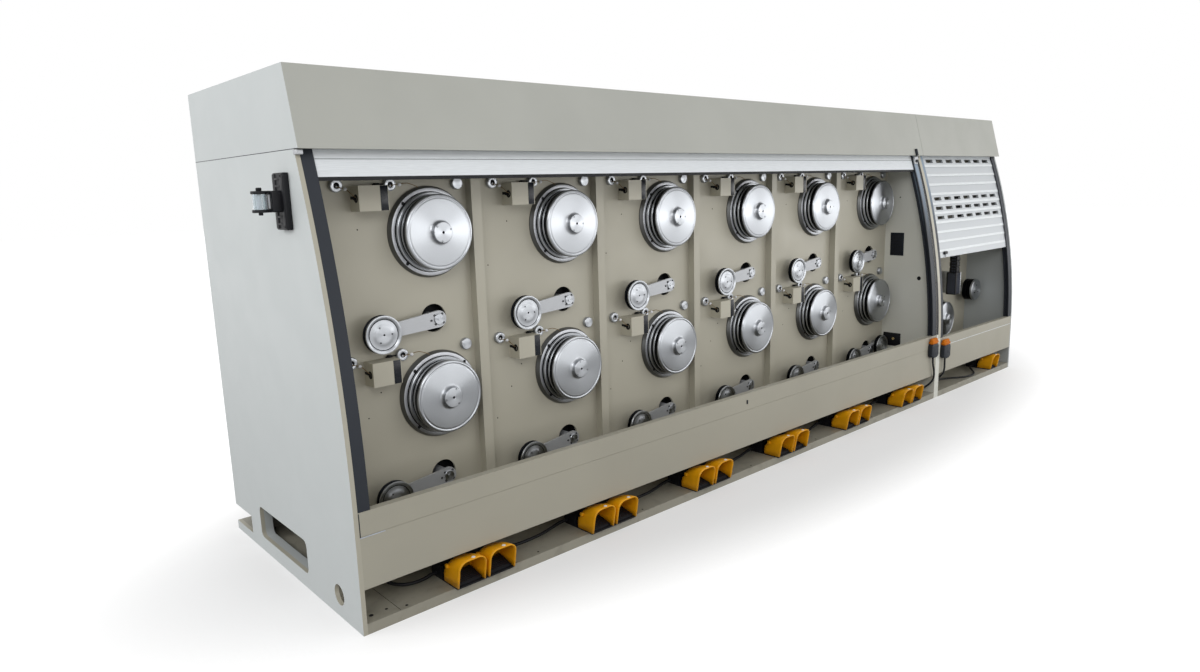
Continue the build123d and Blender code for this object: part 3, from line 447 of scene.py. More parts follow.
def moulded(name, code, roughness, grain=0.8, depth=0.03):
    """Moulded plastic or rubber: one even colour with a fine spark-eroded grain."""
    tree, shader = new_material(name, Specular_IOR_Level=0.25)
    tone = clouded(tree, pattern(tree, 90), linear(code), 0.88, 1.1)
    handled = worn(tree, pattern(tree, 25), roughness - 0.06, roughness + 0.08, 0.35)
    feed(tree, shader, Base_Color=tone, Roughness=handled)
    bumped(tree, shader, pattern(tree, grain, detail=1.0), depth, 0.6)


def clear_glass(name, code):
    """Polycarbonate bowl: clear, slightly blue at its edges, with soft moulding waves."""
    settings = {"Roughness": 0.06, "IOR": 1.5, "Transmission_Weight": 0.85}
    tree, shader = new_material(name, Base_Color=linear(code), **settings)
    bumped(tree, shader, pattern(tree, 12), 0.1, 0.4)


def finishes():
    """Every finish of the machine, made once and looked up by name."""
    machine = bpy.context.scene.wire_machine
    made = bpy.data.materials
    if "wall_powder_coat" in made:
        return made
    wall = list(machine.wall_colour) + [1.0]
    side = list(machine.side_colour) + [1.0]
    hood = list(machine.hood_colour) + [1.0]
    powder_coat("wall_powder_coat", wall)
    # Painted light: the die boxes' coat is a lighter copy of the wall coat
    powder_coat("box_powder_coat", shaded(wall, 1.08))
    # Painted light: the partition's coat is much lighter and more neutral than the wall paint, for
    # the light on its left face
    powder_coat("partition_powder_coat", linear("D4D4CB"))
    # Darker copies of the wall coat: the belts are painted shade for the dimmer light low on the
    # front, with some grime; the base is darker still, partly its dust and partly painted shade
    powder_coat("belt_powder_coat", shaded(wall, 0.84))
    powder_coat("base_powder_coat", shaded(wall, 0.68), dust=0.35)
    # Painted light: the side colour is the sheets' paint as lit on their outer faces; the side
    # sheets' other faces take a darker copy of it, their front edge the wall colour, and the rear
    # sheets and the hoods' end faces the side colour too
    powder_coat("side_powder_coat", shaded(side, 0.72), side=side, edge=shaded(wall, 0.95))
    powder_coat("rear_powder_coat", side)
    powder_coat("hood_powder_coat", hood, side=shaded(side, 0.97))
    # The outlet shutter's slats are painted a little darker than the main shutter's: painted shade
    # on slats of one lacquer
    outlet = (("X", from_left(PARTITION_X), from_left(PARTITION_X + 60)),)
    brushed_metal("lacquered_slat", "DDE1E4", 0.45, (40, 1, 1), 0.1, "C4C8CB", outlet)
    # Painted highlight: the rounded lips of the outlet slats and the edge of the outlet belt are
    # painted paler than the slats
    brushed_metal("lacquered_lip_highlight", "DEE2E4", 0.4, (40, 1, 1), 0.1)
    # A paler blue-grey is painted over the upper part of the middle guide rail: a painted
    # reflection
    painted_sheen = (("Z", 1.15, 1.75), ("X", from_left(4545), from_left(4560)))
    painted_sheen += (("X", from_left(4720), from_left(4710)),)
    brushed_metal("black_anodised", "262A31", 0.48, (1, 1, 60), 0.12, "8C9AA9", painted_sheen)
    turned_metal("turned_steel", "A9ACB0", 0.3)
    turned_metal("ground_flange", "A6A8AC", 0.34, 0.85)
    # Painted shade and reflection: the flanges' sides and spigots are a dark, warm steel for the
    # dim wall they reflect
    turned_metal("painted_shade_flange_steel", "6C6D6D", 0.42, 0.3)
    # Painted shade: dark steel on the grooves, disc sides, bores, backs and screw sockets of the
    # turned parts, where they lie in shade
    turned_metal("painted_shade_steel", "15171B", 0.4, 0.2)
    turned_metal("turned_aluminium", "ABAEB2", 0.36, 0.8)
    brushed_metal("brushed_plate", "B2B4B7", 0.5, (30, 1, 1), 0.5)
    brushed_metal("bright_steel", "C4C6C8", 0.3, (1, 1, 12))
    moulded("black_plastic", "121317", 0.5)
    moulded("grey_plastic", "20242B", 0.55)
    # Painted highlight: a paler plastic for the lattice squares that catch the light
    moulded("lattice_highlight_plastic", "5A6070", 0.5)
    moulded("smoked_window", "191C23", 0.22, depth=0.005)
    moulded("black_rubber", "17181B", 0.6)
    moulded("signal_yellow", "DF9C0C", 0.34, grain=1.6)
    moulded("orange_cap", "C06800", 0.7)
    # Pale film and plastic for the filter's label and element and the wire beads, and painted
    # highlights on the guards' crests and in the ring guides' eyes
    moulded("white_film_and_highlight", "DCDDE0", 0.4)
    moulded("blue_film", "B4BAC4", 0.4)
    moulded("vent_plate", "141A24", 0.45)
    moulded("shadow_hole", "121315", 0.7)
    moulded("drawn_wire", "7A6545", 0.5)
    moulded("brass", "C9B27C", 0.3)
    clear_glass("clear_bowl", "E6EEF2")
    return made


def new_piece(name, mesh, body, replaced=()):
    """Puts a finished mesh in the scene as a piece that rides on a body of the frame."""
    piece = bpy.data.objects.new(name, mesh)
    bpy.context.scene.collection.objects.link(piece)
    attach(piece, body)
    if replaced:
        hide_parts(*replaced)
    return piece


def mesh_from(name, shape, materials, sharp=32):
    """A clean mesh from a bmesh: doubles merged, faces outwards, smooth but for its real edges."""
    bmesh.ops.remove_doubles(shape, verts=shape.verts, dist=WELD)
    bmesh.ops.recalc_face_normals(shape, faces=shape.faces)
    for face in shape.faces:
        face.smooth = True
    mesh = bpy.data.meshes.new(name)
    shape.to_mesh(mesh)
    shape.free()
    for material in materials:
        mesh.materials.append(finishes()[material])
    mesh.set_sharp_from_angle(angle=math.radians(sharp))
    return mesh


def of_one(steps, material):
    """The steps of a turned outline, (radius, distance along the axis), all in one material."""
    return [(*step, material) for step in steps]


def lathe(shape, profile, centre, axis=REAR_AXIS, segments=TURNED_SEGMENTS):
    """Turns steps of (radius, distance along the axis, material) about an axis in centre."""
    side = UP_AXIS if abs(axis.z) < 0.5 else RIGHT_AXIS
    across = side.cross(axis).normalized()
    uv_layer = shape.loops.layers.uv.get("UVMap") or shape.loops.layers.uv.new("UVMap")
    rings = []
    for radius, along, _ in profile:
        middle = centre + axis * along * MM
        turns = [2 * math.pi * turn / segments for turn in range(segments if radius else 1)]
        spokes = [math.cos(a) * across + math.sin(a) * side for a in turns]
        rings.append([shape.verts.new(middle + radius * MM * spoke) for spoke in spokes])
    travelled = 0.0
    for before, after, inner, outer in zip(profile, profile[1:], rings, rings[1:]):
        reached = travelled + math.dist(before[:2], after[:2]) * MM
        for turn in range(segments):
            ends = ((inner, turn, travelled), (inner, turn + 1, travelled))
            ends += ((outer, turn + 1, reached), (outer, turn, reached))
            corners = {}
            for ring, step, along in ends:
                corners.setdefault(ring[step % len(ring)], (step / segments, along))
            if len(corners) < 3:
                continue
            face = shape.faces.new(list(corners))
            face.material_index = before[2]
            for loop in face.loops:
                loop[uv_layer].uv = corners[loop.vert]
        travelled = reached


def plug(shape, centre, radius, front, back, material, axis=REAR_AXIS, segments=24):
    """A short round plug between two distances along an axis, closed at both ends."""
    steps = of_one([(0, front), (radius, front), (radius, back), (0, back)], material)
    lathe(shape, steps, centre, axis, segments)


def round_off(shape, edges, radius, segments, **limits):
    """Rounds edges to a radius in millimetres; the new faces keep the finish beside them."""
    settings = {"offset": radius * MM, "segments": segments, "profile": 0.5, "affect": "EDGES"}
    bmesh.ops.bevel(shape, geom=edges, material=-1, **settings, **limits)


def edges_of(faces):
    """Every edge of some faces once, always in the same order."""
    return list(dict.fromkeys(edge for face in faces for edge in face.edges))


def block(shape, x, y, z, rounding=0.0, material=0, segments=2, origin=CORNER):
    """A box between low and high values in millimetres, its edges rounded."""
    corners = [shape.verts.new(origin + Vector((a, b, c)) * MM) for a in x for b in y for c in z]
    faces = [(0, 1, 3, 2), (4, 6, 7, 5), (0, 4, 5, 1), (2, 3, 7, 6), (0, 2, 6, 4), (1, 5, 7, 3)]
    made = [shape.faces.new([corners[index] for index in face]) for face in faces]
    for face in made:
        face.material_index = material
    if rounding:
        round_off(shape, edges_of(made), rounding, segments)


def walled(shape, rings, material=0):
    """Closes the first and last of like rings of corners and walls in what lies between them."""
    made = [shape.faces.new(rings[0]), shape.faces.new(rings[-1][::-1])]
    for near, far in zip(rings, rings[1:]):
        for index in range(len(near)):
            after = (index + 1) % len(near)
            made.append(shape.faces.new([near[index], far[index], far[after], near[after]]))
    for face in made:
        face.material_index = material
    return made


def prism(shape, outline, low, high, material=0, origin=CORNER):
    """An outline of (y, z) places run along x from low to high."""
    places = [[origin + Vector((x, y, z)) * MM for y, z in outline] for x in (low, high)]
    walled(shape, [[shape.verts.new(place) for place in ring] for ring in places], material)


def as_mesh(piece):
    """What a piece evaluates to, with its modifiers applied, as a plain mesh."""
    depsgraph = bpy.context.evaluated_depsgraph_get()
    return bpy.data.meshes.new_from_object(piece.evaluated_get(depsgraph), depsgraph=depsgraph)


def copies_tree():
    """Geometry Nodes that set one shape on every point of a mesh, realised and with its finish."""
    if "shape_on_points" in bpy.data.node_groups:
        return bpy.data.node_groups["shape_on_points"]
    tree = bpy.data.node_groups.new("shape_on_points", "GeometryNodeTree")
    sockets = {"Points": "Geometry", "Shape": "Object", "One finish": "Bool", "Finish": "Material"}
    for name, kind in sockets.items():
        tree.interface.new_socket(name, in_out="INPUT", socket_type=f"NodeSocket{kind}")
    tree.interface.new_socket("Result", in_out="OUTPUT", socket_type="NodeSocketGeometry")
    given = node(tree, "NodeGroupInput").outputs
    shape = node(tree, "GeometryNodeObjectInfo", {"Object": given["Shape"]}).outputs["Geometry"]
    links = {"Points": given["Points"], "Instance": shape}
    placed = node(tree, "GeometryNodeInstanceOnPoints", links).outputs["Instances"]
    real = node(tree, "GeometryNodeRealizeInstances", {"Geometry": placed}).outputs["Geometry"]
    links = {"Geometry": real, "Selection": given["One finish"], "Material": given["Finish"]}
    done = node(tree, "GeometryNodeSetMaterial", links).outputs["Geometry"]
    node(tree, "NodeGroupOutput", {"Result": done})
    return tree


def run_tree(tree, points, **values):
    """Runs a tree on a mesh of points with its named inputs set, and returns the plain mesh."""
    carrier = bpy.data.objects.new("carrier", points)
    bpy.context.scene.collection.objects.link(carrier)
    modifier = carrier.modifiers.new("repeat", "NODES")
    modifier.node_group = tree
    for item in tree.interface.items_tree:
        if item.in_out == "INPUT" and item.name in values:
            modifier[item.identifier] = values[item.name]
    mesh = as_mesh(carrier)
    bpy.data.objects.remove(carrier)
    return mesh


def helper(mesh):
    """A shape for the trees to repeat; it is removed again after use."""
    shape = bpy.data.objects.new("helper", mesh)
    bpy.context.scene.collection.objects.link(shape)
    return shape


def copies(name, mesh, places, finish, body="frame", slot="housing_steel", replaced=()):
    """A piece made of one small shape repeated at many places; with no finish it keeps its own."""
    points = bpy.data.meshes.new("points")
    points.from_pydata([list(place) for place in places], [], [])
    shape = helper(mesh)
    settings = {"One finish": finish is not None, "Finish": finishes()[finish or "shadow_hole"]}
    result = run_tree(copies_tree(), points, Shape=shape, **settings)
    result.name = name
    bpy.data.objects.remove(shape)
    return new_piece(name, result, body, replaced)


def tube_curve(name, points, diameter, finish, order=3):
    """A smooth NURBS tube drawn along its points, closed at both ends."""
    curve = bpy.data.curves.new(name, "CURVE")
    curve.dimensions = "3D"
    spline = curve.splines.new("NURBS")
    spline.points.add(len(points) - 1)
    for point, place in zip(spline.points, points):
        point.co = (*place, 1.0)
    spline.order_u = order
    spline.use_endpoint_u = True
    spline.resolution_u = 8
    curve.bevel_depth = diameter / 2 * MM
    curve.bevel_resolution = 5
    curve.use_fill_caps = True
    curve.materials.append(finishes()[finish])
    return curve


def bay_rows():
    """Each bay's row name, number, shift along the machine, and the heights of its row."""
    bays = [(row, bay) for row in ROWS for bay in range(BAYS)]
    return [(row, bay + 1, bay * BAY_PITCH, *ROW_HEIGHTS[row]) for row, bay in bays]


def curve_y(z, inset=0):
    """How far back the front curve of the cabinet is at a height."""
    return FRONT_RADIUS - math.sqrt((FRONT_RADIUS - inset) ** 2 - max(z - BEND_Z, 0) ** 2)


def curve_strip(shape, x, low, high, inset, thickness, material=0, steps=24):
    """A strip that follows the front curve between two heights."""
    heights = [low + (high - low) * step / steps for step in range(steps + 1)]
    outline = [(curve_y(z, inset), z) for z in heights]
    outline += [(curve_y(z, inset + thickness), z) for z in reversed(heights)]
    prism(shape, outline, *x, material)


def rod(shape, points, radius, material=0, sides=8):
    """A round rod along straight runs between places, closed at both ends."""
    heading = Vector(points[-1]) - Vector(points[0])
    side = heading.cross(UP_AXIS if abs(heading.normalized().z) < 0.9 else RIGHT_AXIS).normalized()
    up = side.cross(heading).normalized()
    turns = [2 * math.pi * turn / sides for turn in range(sides)]
    rim = [(math.cos(a) * side + math.sin(a) * up) * radius * MM for a in turns]
    rings = [[shape.verts.new(Vector(point) + offset) for offset in rim] for point in points]
    walled(shape, rings, material)


def ring_of(count, radius, start=0.0):
    """Places round a circle, as (x, z) in millimetres."""
    turns = [math.radians(start + number * 360 / count) for number in range(count)]
    return [(radius * math.cos(turn), radius * math.sin(turn)) for turn in turns]


def socket_screw(shape, x, y, z, radius, material):
    """The head of a socket screw seen from the front, with its hexagon as a round recess."""
    height = radius * 0.5
    profile = [(0, y + height * 0.4), (radius * 0.5, y + height * 0.4), (radius * 0.5, y - height)]
    profile += [(radius * 0.85, y - height), (radius, y - height * 0.7), (radius, y + 1)]
    lathe(shape, of_one(profile, material), at(x, 0, z), segments=12)


def finish_nodes(material, *names):
    """Gives CAD nodes a finish in their own material slots."""
    for name in names:
        for place in NODES[name].material_slots:
            place.material = finishes()[material]


def paint(name, description, code):
    """The property of a paint's colour, with an sRGB hex colour as its default."""
    return bpy.props.FloatVectorProperty(
        name=name,
        description=description,
        subtype="COLOR",
        size=3,
        min=0.0,
        max=1.0,
        default=linear(code)[:3],
    )


class WireMachineSettings(bpy.types.PropertyGroup):
    """Colours and sizes of the machine that a user would change."""

    wall_colour: paint("Wall colour", "Powder coat of the walls, posts and front belts", "AFAB9C")
    # The side colour is painted light: the paint as it looks on the lit outer faces, lighter and
    # cooler than on the front
    side_colour: paint("Side colour", "Powder coat of the outer side and rear sheets", "C6CBCB")
    hood_colour: paint("Hood colour", "Powder coat of the hoods", "AAABA4")
    flange_screw: bpy.props.FloatProperty(
        name="Flange hole",
        description="Radius of the screw holes in the capstan flanges, in metres",
        subtype="DISTANCE",
        unit="LENGTH",
        min=0.003,
        max=0.012,
        default=0.0078,
    )
    light_level: bpy.props.FloatProperty(
        name="Light level",
        description="Strength of the soft light from all round",
        subtype="FACTOR",
        min=0.0,
        max=2.0,
        default=0.5,
    )


class WIREMACHINE_OT_camera(bpy.types.Operator):
    """Sets the camera where the photograph was taken from"""

    bl_idname = "wire_machine.camera"
    bl_label = "Camera"

    def execute(self, context):
        lens = bpy.data.cameras.new("camera")
        lens.lens = CAMERA_LENS
        lens.sensor_width = SENSOR_WIDTH
        lens.clip_end = 100
        camera = bpy.data.objects.new("camera", lens)
        context.scene.collection.objects.link(camera)
        level = Matrix.Rotation(math.pi / 2 + CAMERA_PITCH, 4, "X")
        turn = Matrix.Rotation(-CAMERA_YAW, 4, "Z") @ level @ Matrix.Rotation(CAMERA_ROLL, 4, "Z")
        camera.matrix_world = Matrix.Translation(at(*CAMERA_PLACE)) @ turn
        context.scene.camera = camera
        return {"FINISHED"}


class WIREMACHINE_OT_cords(bpy.types.Operator):
    """Hangs the two free cords of the connectors"""

    bl_idname = "wire_machine.cords"
    bl_label = "Cords"

    def execute(self, context):
        cords = (("left_cord", LEFT_CORD, 0.505), ("right_cord", RIGHT_CORD, 1.193))
        for name, points, length in cords:
            places = [at(*point) for point in points]
            curve = tube_curve(f"{name}_rubber", places, CORD_D, "black_rubber")
            cord = new_piece(f"{name}_rubber", curve, "frame", (name,))
        return {"FINISHED"}


class WIREMACHINE_OT_sheets(bpy.types.Operator):
    """Gives the plain CAD pieces their finishes"""

    bl_idname = "wire_machine.sheets"
    bl_label = "Sheet finishes"

    def execute(self, context):
        finish_nodes("base_powder_coat", "base_frame")
        finish_nodes("side_powder_coat", "end_panels")
        finish_nodes("wall_powder_coat", "mounting_walls", "bay_posts")
        finish_nodes("partition_powder_coat", "unit_partition")
        finish_nodes("box_powder_coat", "die_boxes")
        finish_nodes("belt_powder_coat", "front_belts")
        finish_nodes("rear_powder_coat", "rear_panels")
        finish_nodes("hood_powder_coat", "hoods")
        finish_nodes("lacquered_slat", "roller_shutters")
        finish_nodes("black_anodised", "shutter_guides")
        finish_nodes("black_plastic", "foot_switches")
        finish_nodes("black_rubber", "base_cables")
        arms = [f"dancer_arm_{row}_{number}" for row, number, *_ in bay_rows()]
        finish_nodes("brushed_plate", *arms)
        return {"FINISHED"}


def quarter(steps):
    """The angles that share a quarter turn into steps."""
    return [math.pi / 2 * step / steps for step in range(steps + 1)]


def rounded(radius, along, curve, material, steps=5):
    """The quarter circle that rounds a rim off, from its face to its side."""
    inner, back = radius - curve, along + curve
    arc = [(inner + curve * math.sin(a), back - curve * math.cos(a)) for a in quarter(steps)]
    return of_one(arc, material)


def capstan_profile(wall_y, disc_r):
    """The turned outline of a capstan: hub, disc with a ring in its face, two grooves and rims."""
    bright, dark, face_metal = 0, 1, 2
    groove_r = disc_r - GROOVE_DEPTH
    rim_r = disc_r + RIM_STEP
    rim_back = wall_y - FLANGE_T - RUNNING_GAP
    rim_front = rim_back - RIM_T
    ring_back = rim_front - GROOVE_W + 3
    ring_front = ring_back - MID_RING_T - 6
    disc_back = ring_front - GROOVE_W + 3
    face = disc_back - DISC_T
    nose = face - HUB_LENGTH
    end = wall_y + SPIGOT_END
    ring = disc_r - FACE_RING_INSET
    foot = [(1 - math.cos(a), 1 - math.sin(a)) for a in quarter(5)]
    foot = [(HUB_R + HUB_FOOT * out, face - HUB_FOOT * up) for out, up in foot]
    valley = ((-7, 0), (-4, 0.7), (-1.5, 2.2), (0.5, 2.8), (2.5, 2.4), (4.5, 1), (6, 0.2))
    valley = [(ring + out, face + deep) for out, deep in valley]
    # The dark stretches are painted shade: the centre bore, the disc's side, the two grooves and
    # the back edge of the rim
    return [
        (0, nose + 8, dark), (5.5, nose + 8, dark), (5.5, nose + 1, bright),
        (6.5, nose, face_metal), *rounded(HUB_R, nose, 3.5, face_metal, 4),
        *of_one([*foot, *valley], face_metal),
        *rounded(disc_r, face, DISC_ROUND, bright), (disc_r - 1, face + DISC_ROUND + 1, dark),
        (disc_r - 2, disc_back, dark), (groove_r, disc_back + 1, dark),
        (groove_r, ring_front - 1, dark), (disc_r - 4, ring_front, bright),
        (disc_r - 2.5, ring_front + 2, bright), (disc_r - 3, ring_back - 2, dark),
        (disc_r - 5, ring_back, dark), (groove_r, ring_back + 1, dark), (groove_r, rim_front, dark),
        (disc_r - 4, rim_front, bright), (rim_r - 4, rim_front, bright),
        (rim_r - 1, rim_front + 2, bright), (rim_r, rim_front + 5, bright),
        (rim_r, rim_back - 1, bright), (rim_r - 1, rim_back, dark), (SHAFT_R, rim_back, bright),
        (SHAFT_R, end, bright), (0, end, bright),
    ]


def add_capstan(body, x, z, wall_y, disc_r, turns):
    """One capstan with the screws of its hub and the small mark near the rim."""
    shape = bmesh.new()
    profile = capstan_profile(wall_y, disc_r)
    lathe(shape, profile, at(x, 0, z))
    nose = profile[3][1]
    # The hub screws are dark, painted shade in their sockets
    for across, up in ring_of(HUB_SCREWS, HUB_SCREW_RING, turns[0]):
        socket_screw(shape, x + across, nose + 2, z + up, HUB_SCREW_R, 1)
    for across, up in ring_of(1, FACE_DOT_RING * disc_r / DISC_R, turns[1]):
        socket_screw(shape, x + across, nose + HUB_LENGTH + 1.8, z + up, FACE_DOT_R, 0)
    mesh = mesh_from(body, shape, ("turned_steel", "painted_shade_steel", "turned_aluminium"))
    new_piece(f"{body}_turned", mesh, body, (body,))


class WIREMACHINE_OT_capstans(bpy.types.Operator):
    """Turns the thirteen drawing capstans"""

    bl_idname = "wire_machine.capstans"
    bl_label = "Capstans"

    def execute(self, context):
        for row, number, shift, z, _, _, _ in bay_rows():
            turns = CAPSTAN_TURNS[row][number - 1]
            add_capstan(f"capstan_{row}_{number}", CAPSTAN_X + shift, z, WALL_Y, DISC_R, turns)
        place = (OUTLET_CAPSTAN_X, OUTLET_CAPSTAN_Z, OUTLET_WALL_Y, OUTLET_DISC_R)
        add_capstan("outlet_capstan", *place, CAPSTAN_TURNS["outlet"][0])
        return {"FINISHED"}


def flange_profile(wall_y, disc_r):
    """The turned outline of a bearing flange on the wall, with its spigot through it."""
    face, dark, side = 0, 1, 3
    radius = disc_r + FLANGE_EXTRA
    edge = radius - FLANGE_SLOPE
    front = wall_y - FLANGE_T
    bore = SHAFT_R + BORE_GAP
    end = wall_y + SPIGOT_END
    # The flange's side is the dark steel of painted shade and reflection, and the inner ring of its
    # face is dark, painted shade in its cove
    return [
        (bore, front + 3, dark), (disc_r + 10, front + 3, dark), (disc_r + 11.5, front, face),
        (edge - 1, front, face), (edge, front + 0.5, side), (radius - 2, front + 15, side),
        (radius, front + 18, side), (radius, wall_y, side), (SPIGOT_R, wall_y, side),
        (SPIGOT_R, end, side), (bore, end, dark), (bore, front + 3, dark),
    ]


def cup_profile():
    """The turned outline of the cup behind a dancer's hole in the wall."""
    front = WALL_Y + WALL_T
    inner = front + DANCER_CUP_DEPTH
    end = inner + DANCER_CUP_BACK
    bore = PIVOT_R + BORE_GAP
    steps = [(DANCER_HOLE_R, front), (DANCER_CUP_R, front), (DANCER_CUP_R, end), (bore, end)]
    steps += [(bore, inner), (DANCER_HOLE_R, inner), (DANCER_HOLE_R, front)]
    return of_one(steps, 1)


def add_stub(shape, place, wall_y, roller_back, pin_front):
    """The fixed stub and pin that a roller turns on."""
    front = roller_back + RUNNING_GAP
    steps = [(0, pin_front), (PIN_R, pin_front), (PIN_R, front), (STUB_R, front)]
    steps += [(STUB_R, wall_y), (0, wall_y)]
    lathe(shape, of_one(steps, 2), place, segments=48)


class WIREMACHINE_OT_housings(bpy.types.Operator):
    """Turns the fixed flanges behind the capstans, the dancers' cups and the rollers' stubs"""

    bl_idname = "wire_machine.housings"
    bl_label = "Bearing housings"

    def execute(self, context):
        shape = bmesh.new()
        screw = context.scene.wire_machine.flange_screw / MM
        flanges = []
        for _, _, shift, z, dancer_z, _, _ in bay_rows():
            flanges.append((CAPSTAN_X + shift, z, WALL_Y, DISC_R))
            lathe(shape, cup_profile(), at(DANCER_X + shift, 0, dancer_z))
        flanges.append((OUTLET_CAPSTAN_X, OUTLET_CAPSTAN_Z, OUTLET_WALL_Y, OUTLET_DISC_R))
        for x, z, wall_y, disc_r in flanges:
            lathe(shape, flange_profile(wall_y, disc_r), at(x, 0, z))
            front = wall_y - FLANGE_T
            hole = of_one([(0, front - 0.4), (screw, front - 0.4), (screw, front + 6)], 1)
            for across, up in ring_of(FLANGE_BOLTS, disc_r + FLANGE_BOLT_EXTRA, FLANGE_BOLT_ANGLE):
                lathe(shape, hole, at(x + across, 0, z + up), segments=20)
        place = at(CORNER_ROLLER_X, 0, CORNER_ROLLER_Z)
        pin_front = PULLEY_FRONT + PULLEY_DISH + PULLEY_LIP
        add_stub(shape, place, WALL_Y, PULLEY_FRONT + PULLEY_BODY_T, pin_front)
        place = at(OUTLET_ROLLER_X, 0, OUTLET_ROLLER_Z)
        roller_back = OUTLET_ROLLER_FRONT + OUTLET_ROLLER_T
        add_stub(shape, place, OUTLET_WALL_Y, roller_back, OUTLET_ROLLER_FRONT + 2 * PULLEY_RIM)
        metals = ("ground_flange", "shadow_hole", "turned_steel", "painted_shade_flange_steel")
        mesh = mesh_from("flanges", shape, metals)
        new_piece("bearing_flanges", mesh, "frame", ("bearing_housings",))
        return {"FINISHED"}


def pulley_profile(radius):
    """The turned outline of a grooved pulley: hub, valley, bright lip, groove and rear rim."""
    bright, dark, face_metal = 0, 1, 2
    front = PULLEY_FRONT
    back = front + PULLEY_BODY_T
    dish = front + PULLEY_DISH
    scale = radius / PULLEY_R
    groove_r = PULLEY_GROOVE_R * scale
    groove = (front + PULLEY_RIM + EDGE_BREAK, back - PULLEY_RIM - EDGE_BREAK)
    bore = PIN_R + BORE_GAP
    # The dark stretches are painted shade: the centre bore, a ring in the dish, the groove, the
    # rear rim and the back
    return [
        (0, front + 3, dark), (3.5, front + 3, dark), (4.5, front + 0.5, face_metal),
        (30, front, face_metal), (40, front + 0.8, face_metal),
        (PULLEY_HUB_R, front + 2.5, face_metal), (50 * scale, dish, face_metal),
        (58 * scale, dish + 0.8, face_metal), (63 * scale, dish + 1, dark),
        (66.5 * scale, dish + 0.8, bright), (70 * scale, front + 2, bright),
        (73.5 * scale, front + 0.5, bright), (77 * scale, front, bright),
        (radius - 1, front + 0.6, bright), (radius, front + 2, bright),
        (radius, front + PULLEY_RIM - 1, dark), (groove_r, groove[0], dark),
        (groove_r, groove[1], dark), (radius - 1, back - PULLEY_RIM, dark),
        (radius, back - PULLEY_RIM + 1, dark), (radius, back - 1, dark), (radius - 1, back, dark),
        (bore, back, dark), (bore, dish + 12, dark), (0, dish + 12, dark),
    ]


def add_pulley(body, x, z, radius):
    """One pulley with the screws of its hub."""
    shape = bmesh.new()
    lathe(shape, pulley_profile(radius), at(x, 0, z))
    # The hub screws are dark, painted shade in their sockets
    for across, up in ring_of(PULLEY_SCREWS, PULLEY_SCREW_RING):
        socket_screw(shape, x + across, PULLEY_FRONT + 0.6, z + up, PULLEY_SCREW_R, 1)
    mesh = mesh_from(body, shape, ("turned_steel", "painted_shade_steel", "turned_aluminium"))
    new_piece(f"{body}_turned", mesh, body, (body,))


def outlet_roller_profile():
    """The turned outline of the outlet roller: a plain face and three grooves side by side."""
    bright, dark = 0, 1
    front = OUTLET_ROLLER_FRONT
    back = front + OUTLET_ROLLER_T
    radius = OUTLET_ROLLER_R
    bore = PIN_R + BORE_GAP
    bore_end = front + 2 * PULLEY_RIM
    step = (back - bore_end) / (2 * OUTLET_ROLLER_GROOVES)
    steps = []
    for number in range(OUTLET_ROLLER_GROOVES):
        y = bore_end + number * 2 * step
        steps += [(radius, y), (radius - 2, y + 1), (radius - GROOVE_DEPTH, y + step / 2)]
        steps += [(radius - 2, y + step - 1), (radius, y + step)]
    steps += [(radius, back), (bore, back), (bore, bore_end), (0, bore_end)]
    # The grooved body behind the face is dark, painted shade in its grooves
    face = of_one([(0, front), (radius - 3, front), (radius, front + 3)], bright)
    return face + of_one(steps, dark)


class WIREMACHINE_OT_pulleys(bpy.types.Operator):
    """Turns the dancer pulleys, the corner roller and the outlet roller"""

    bl_idname = "wire_machine.pulleys"
    bl_label = "Pulleys and rollers"

    def execute(self, context):
        for row, number, shift, _, dancer_z, _, _ in bay_rows():
            x, z = DANCER_X - DANCER_REACH + shift, dancer_z - DANCER_DROP
            add_pulley(f"dancer_pulley_{row}_{number}", x, z, PULLEY_R)
        add_pulley("corner_roller", CORNER_ROLLER_X, CORNER_ROLLER_Z, CORNER_ROLLER_R)
        shape = bmesh.new()
        lathe(shape, outlet_roller_profile(), at(OUTLET_ROLLER_X, 0, OUTLET_ROLLER_Z))
        # The screws are dark, painted shade in their sockets
        for across, up in ring_of(OUTLET_ROLLER_SCREWS, OUTLET_ROLLER_SCREW_RING, 90):
            x, z = OUTLET_ROLLER_X + across, OUTLET_ROLLER_Z + up
            socket_screw(shape, x, OUTLET_ROLLER_FRONT, z, OUTLET_ROLLER_SCREW_R, 1)
        mesh = mesh_from("outlet_roller", shape, ("turned_aluminium", "painted_shade_steel"))
        new_piece("outlet_roller_turned", mesh, "outlet_roller", ("outlet_roller",))
        return {"FINISHED"}


class WIREMACHINE_OT_arms(bpy.types.Operator):
    """Sets the boss and the screws on the dancer arms"""

    bl_idname = "wire_machine.arms"
    bl_label = "Dancer arm screws"

    def execute(self, context):
        front = WALL_Y - ARM_WALL_GAP - ARM_T
        for row, number, shift, _, z, _, _ in bay_rows():
            shape = bmesh.new()
            x = DANCER_X + shift
            body = f"dancer_arm_{row}_{number}"
            boss = [(0, -7), (8, -7), (8, -5.5), (ARM_BOSS_R - 1.5, -5.5), (ARM_BOSS_R, -4)]
            boss += [(ARM_BOSS_R, 0)]
            lathe(shape, of_one(boss, 0), at(x, front, z), segments=48)
            start = math.degrees(DANCER_LEAN) + 45
            for across, up in ring_of(ARM_BOLTS, ARM_BOLT_RING, start):
                socket_screw(shape, x + across, front, z + up, ARM_BOLT_R, 1)
            far = Vector((math.cos(DANCER_LEAN), math.sin(DANCER_LEAN))) * ARM_FAR_BOLT
            socket_screw(shape, x + far.x, front, z + far.y, ARM_FAR_BOLT_R, 1)
            mesh = mesh_from(body, shape, ("turned_steel", "shadow_hole"))
            new_piece(f"{body}_screws", mesh, body)
        return {"FINISHED"}


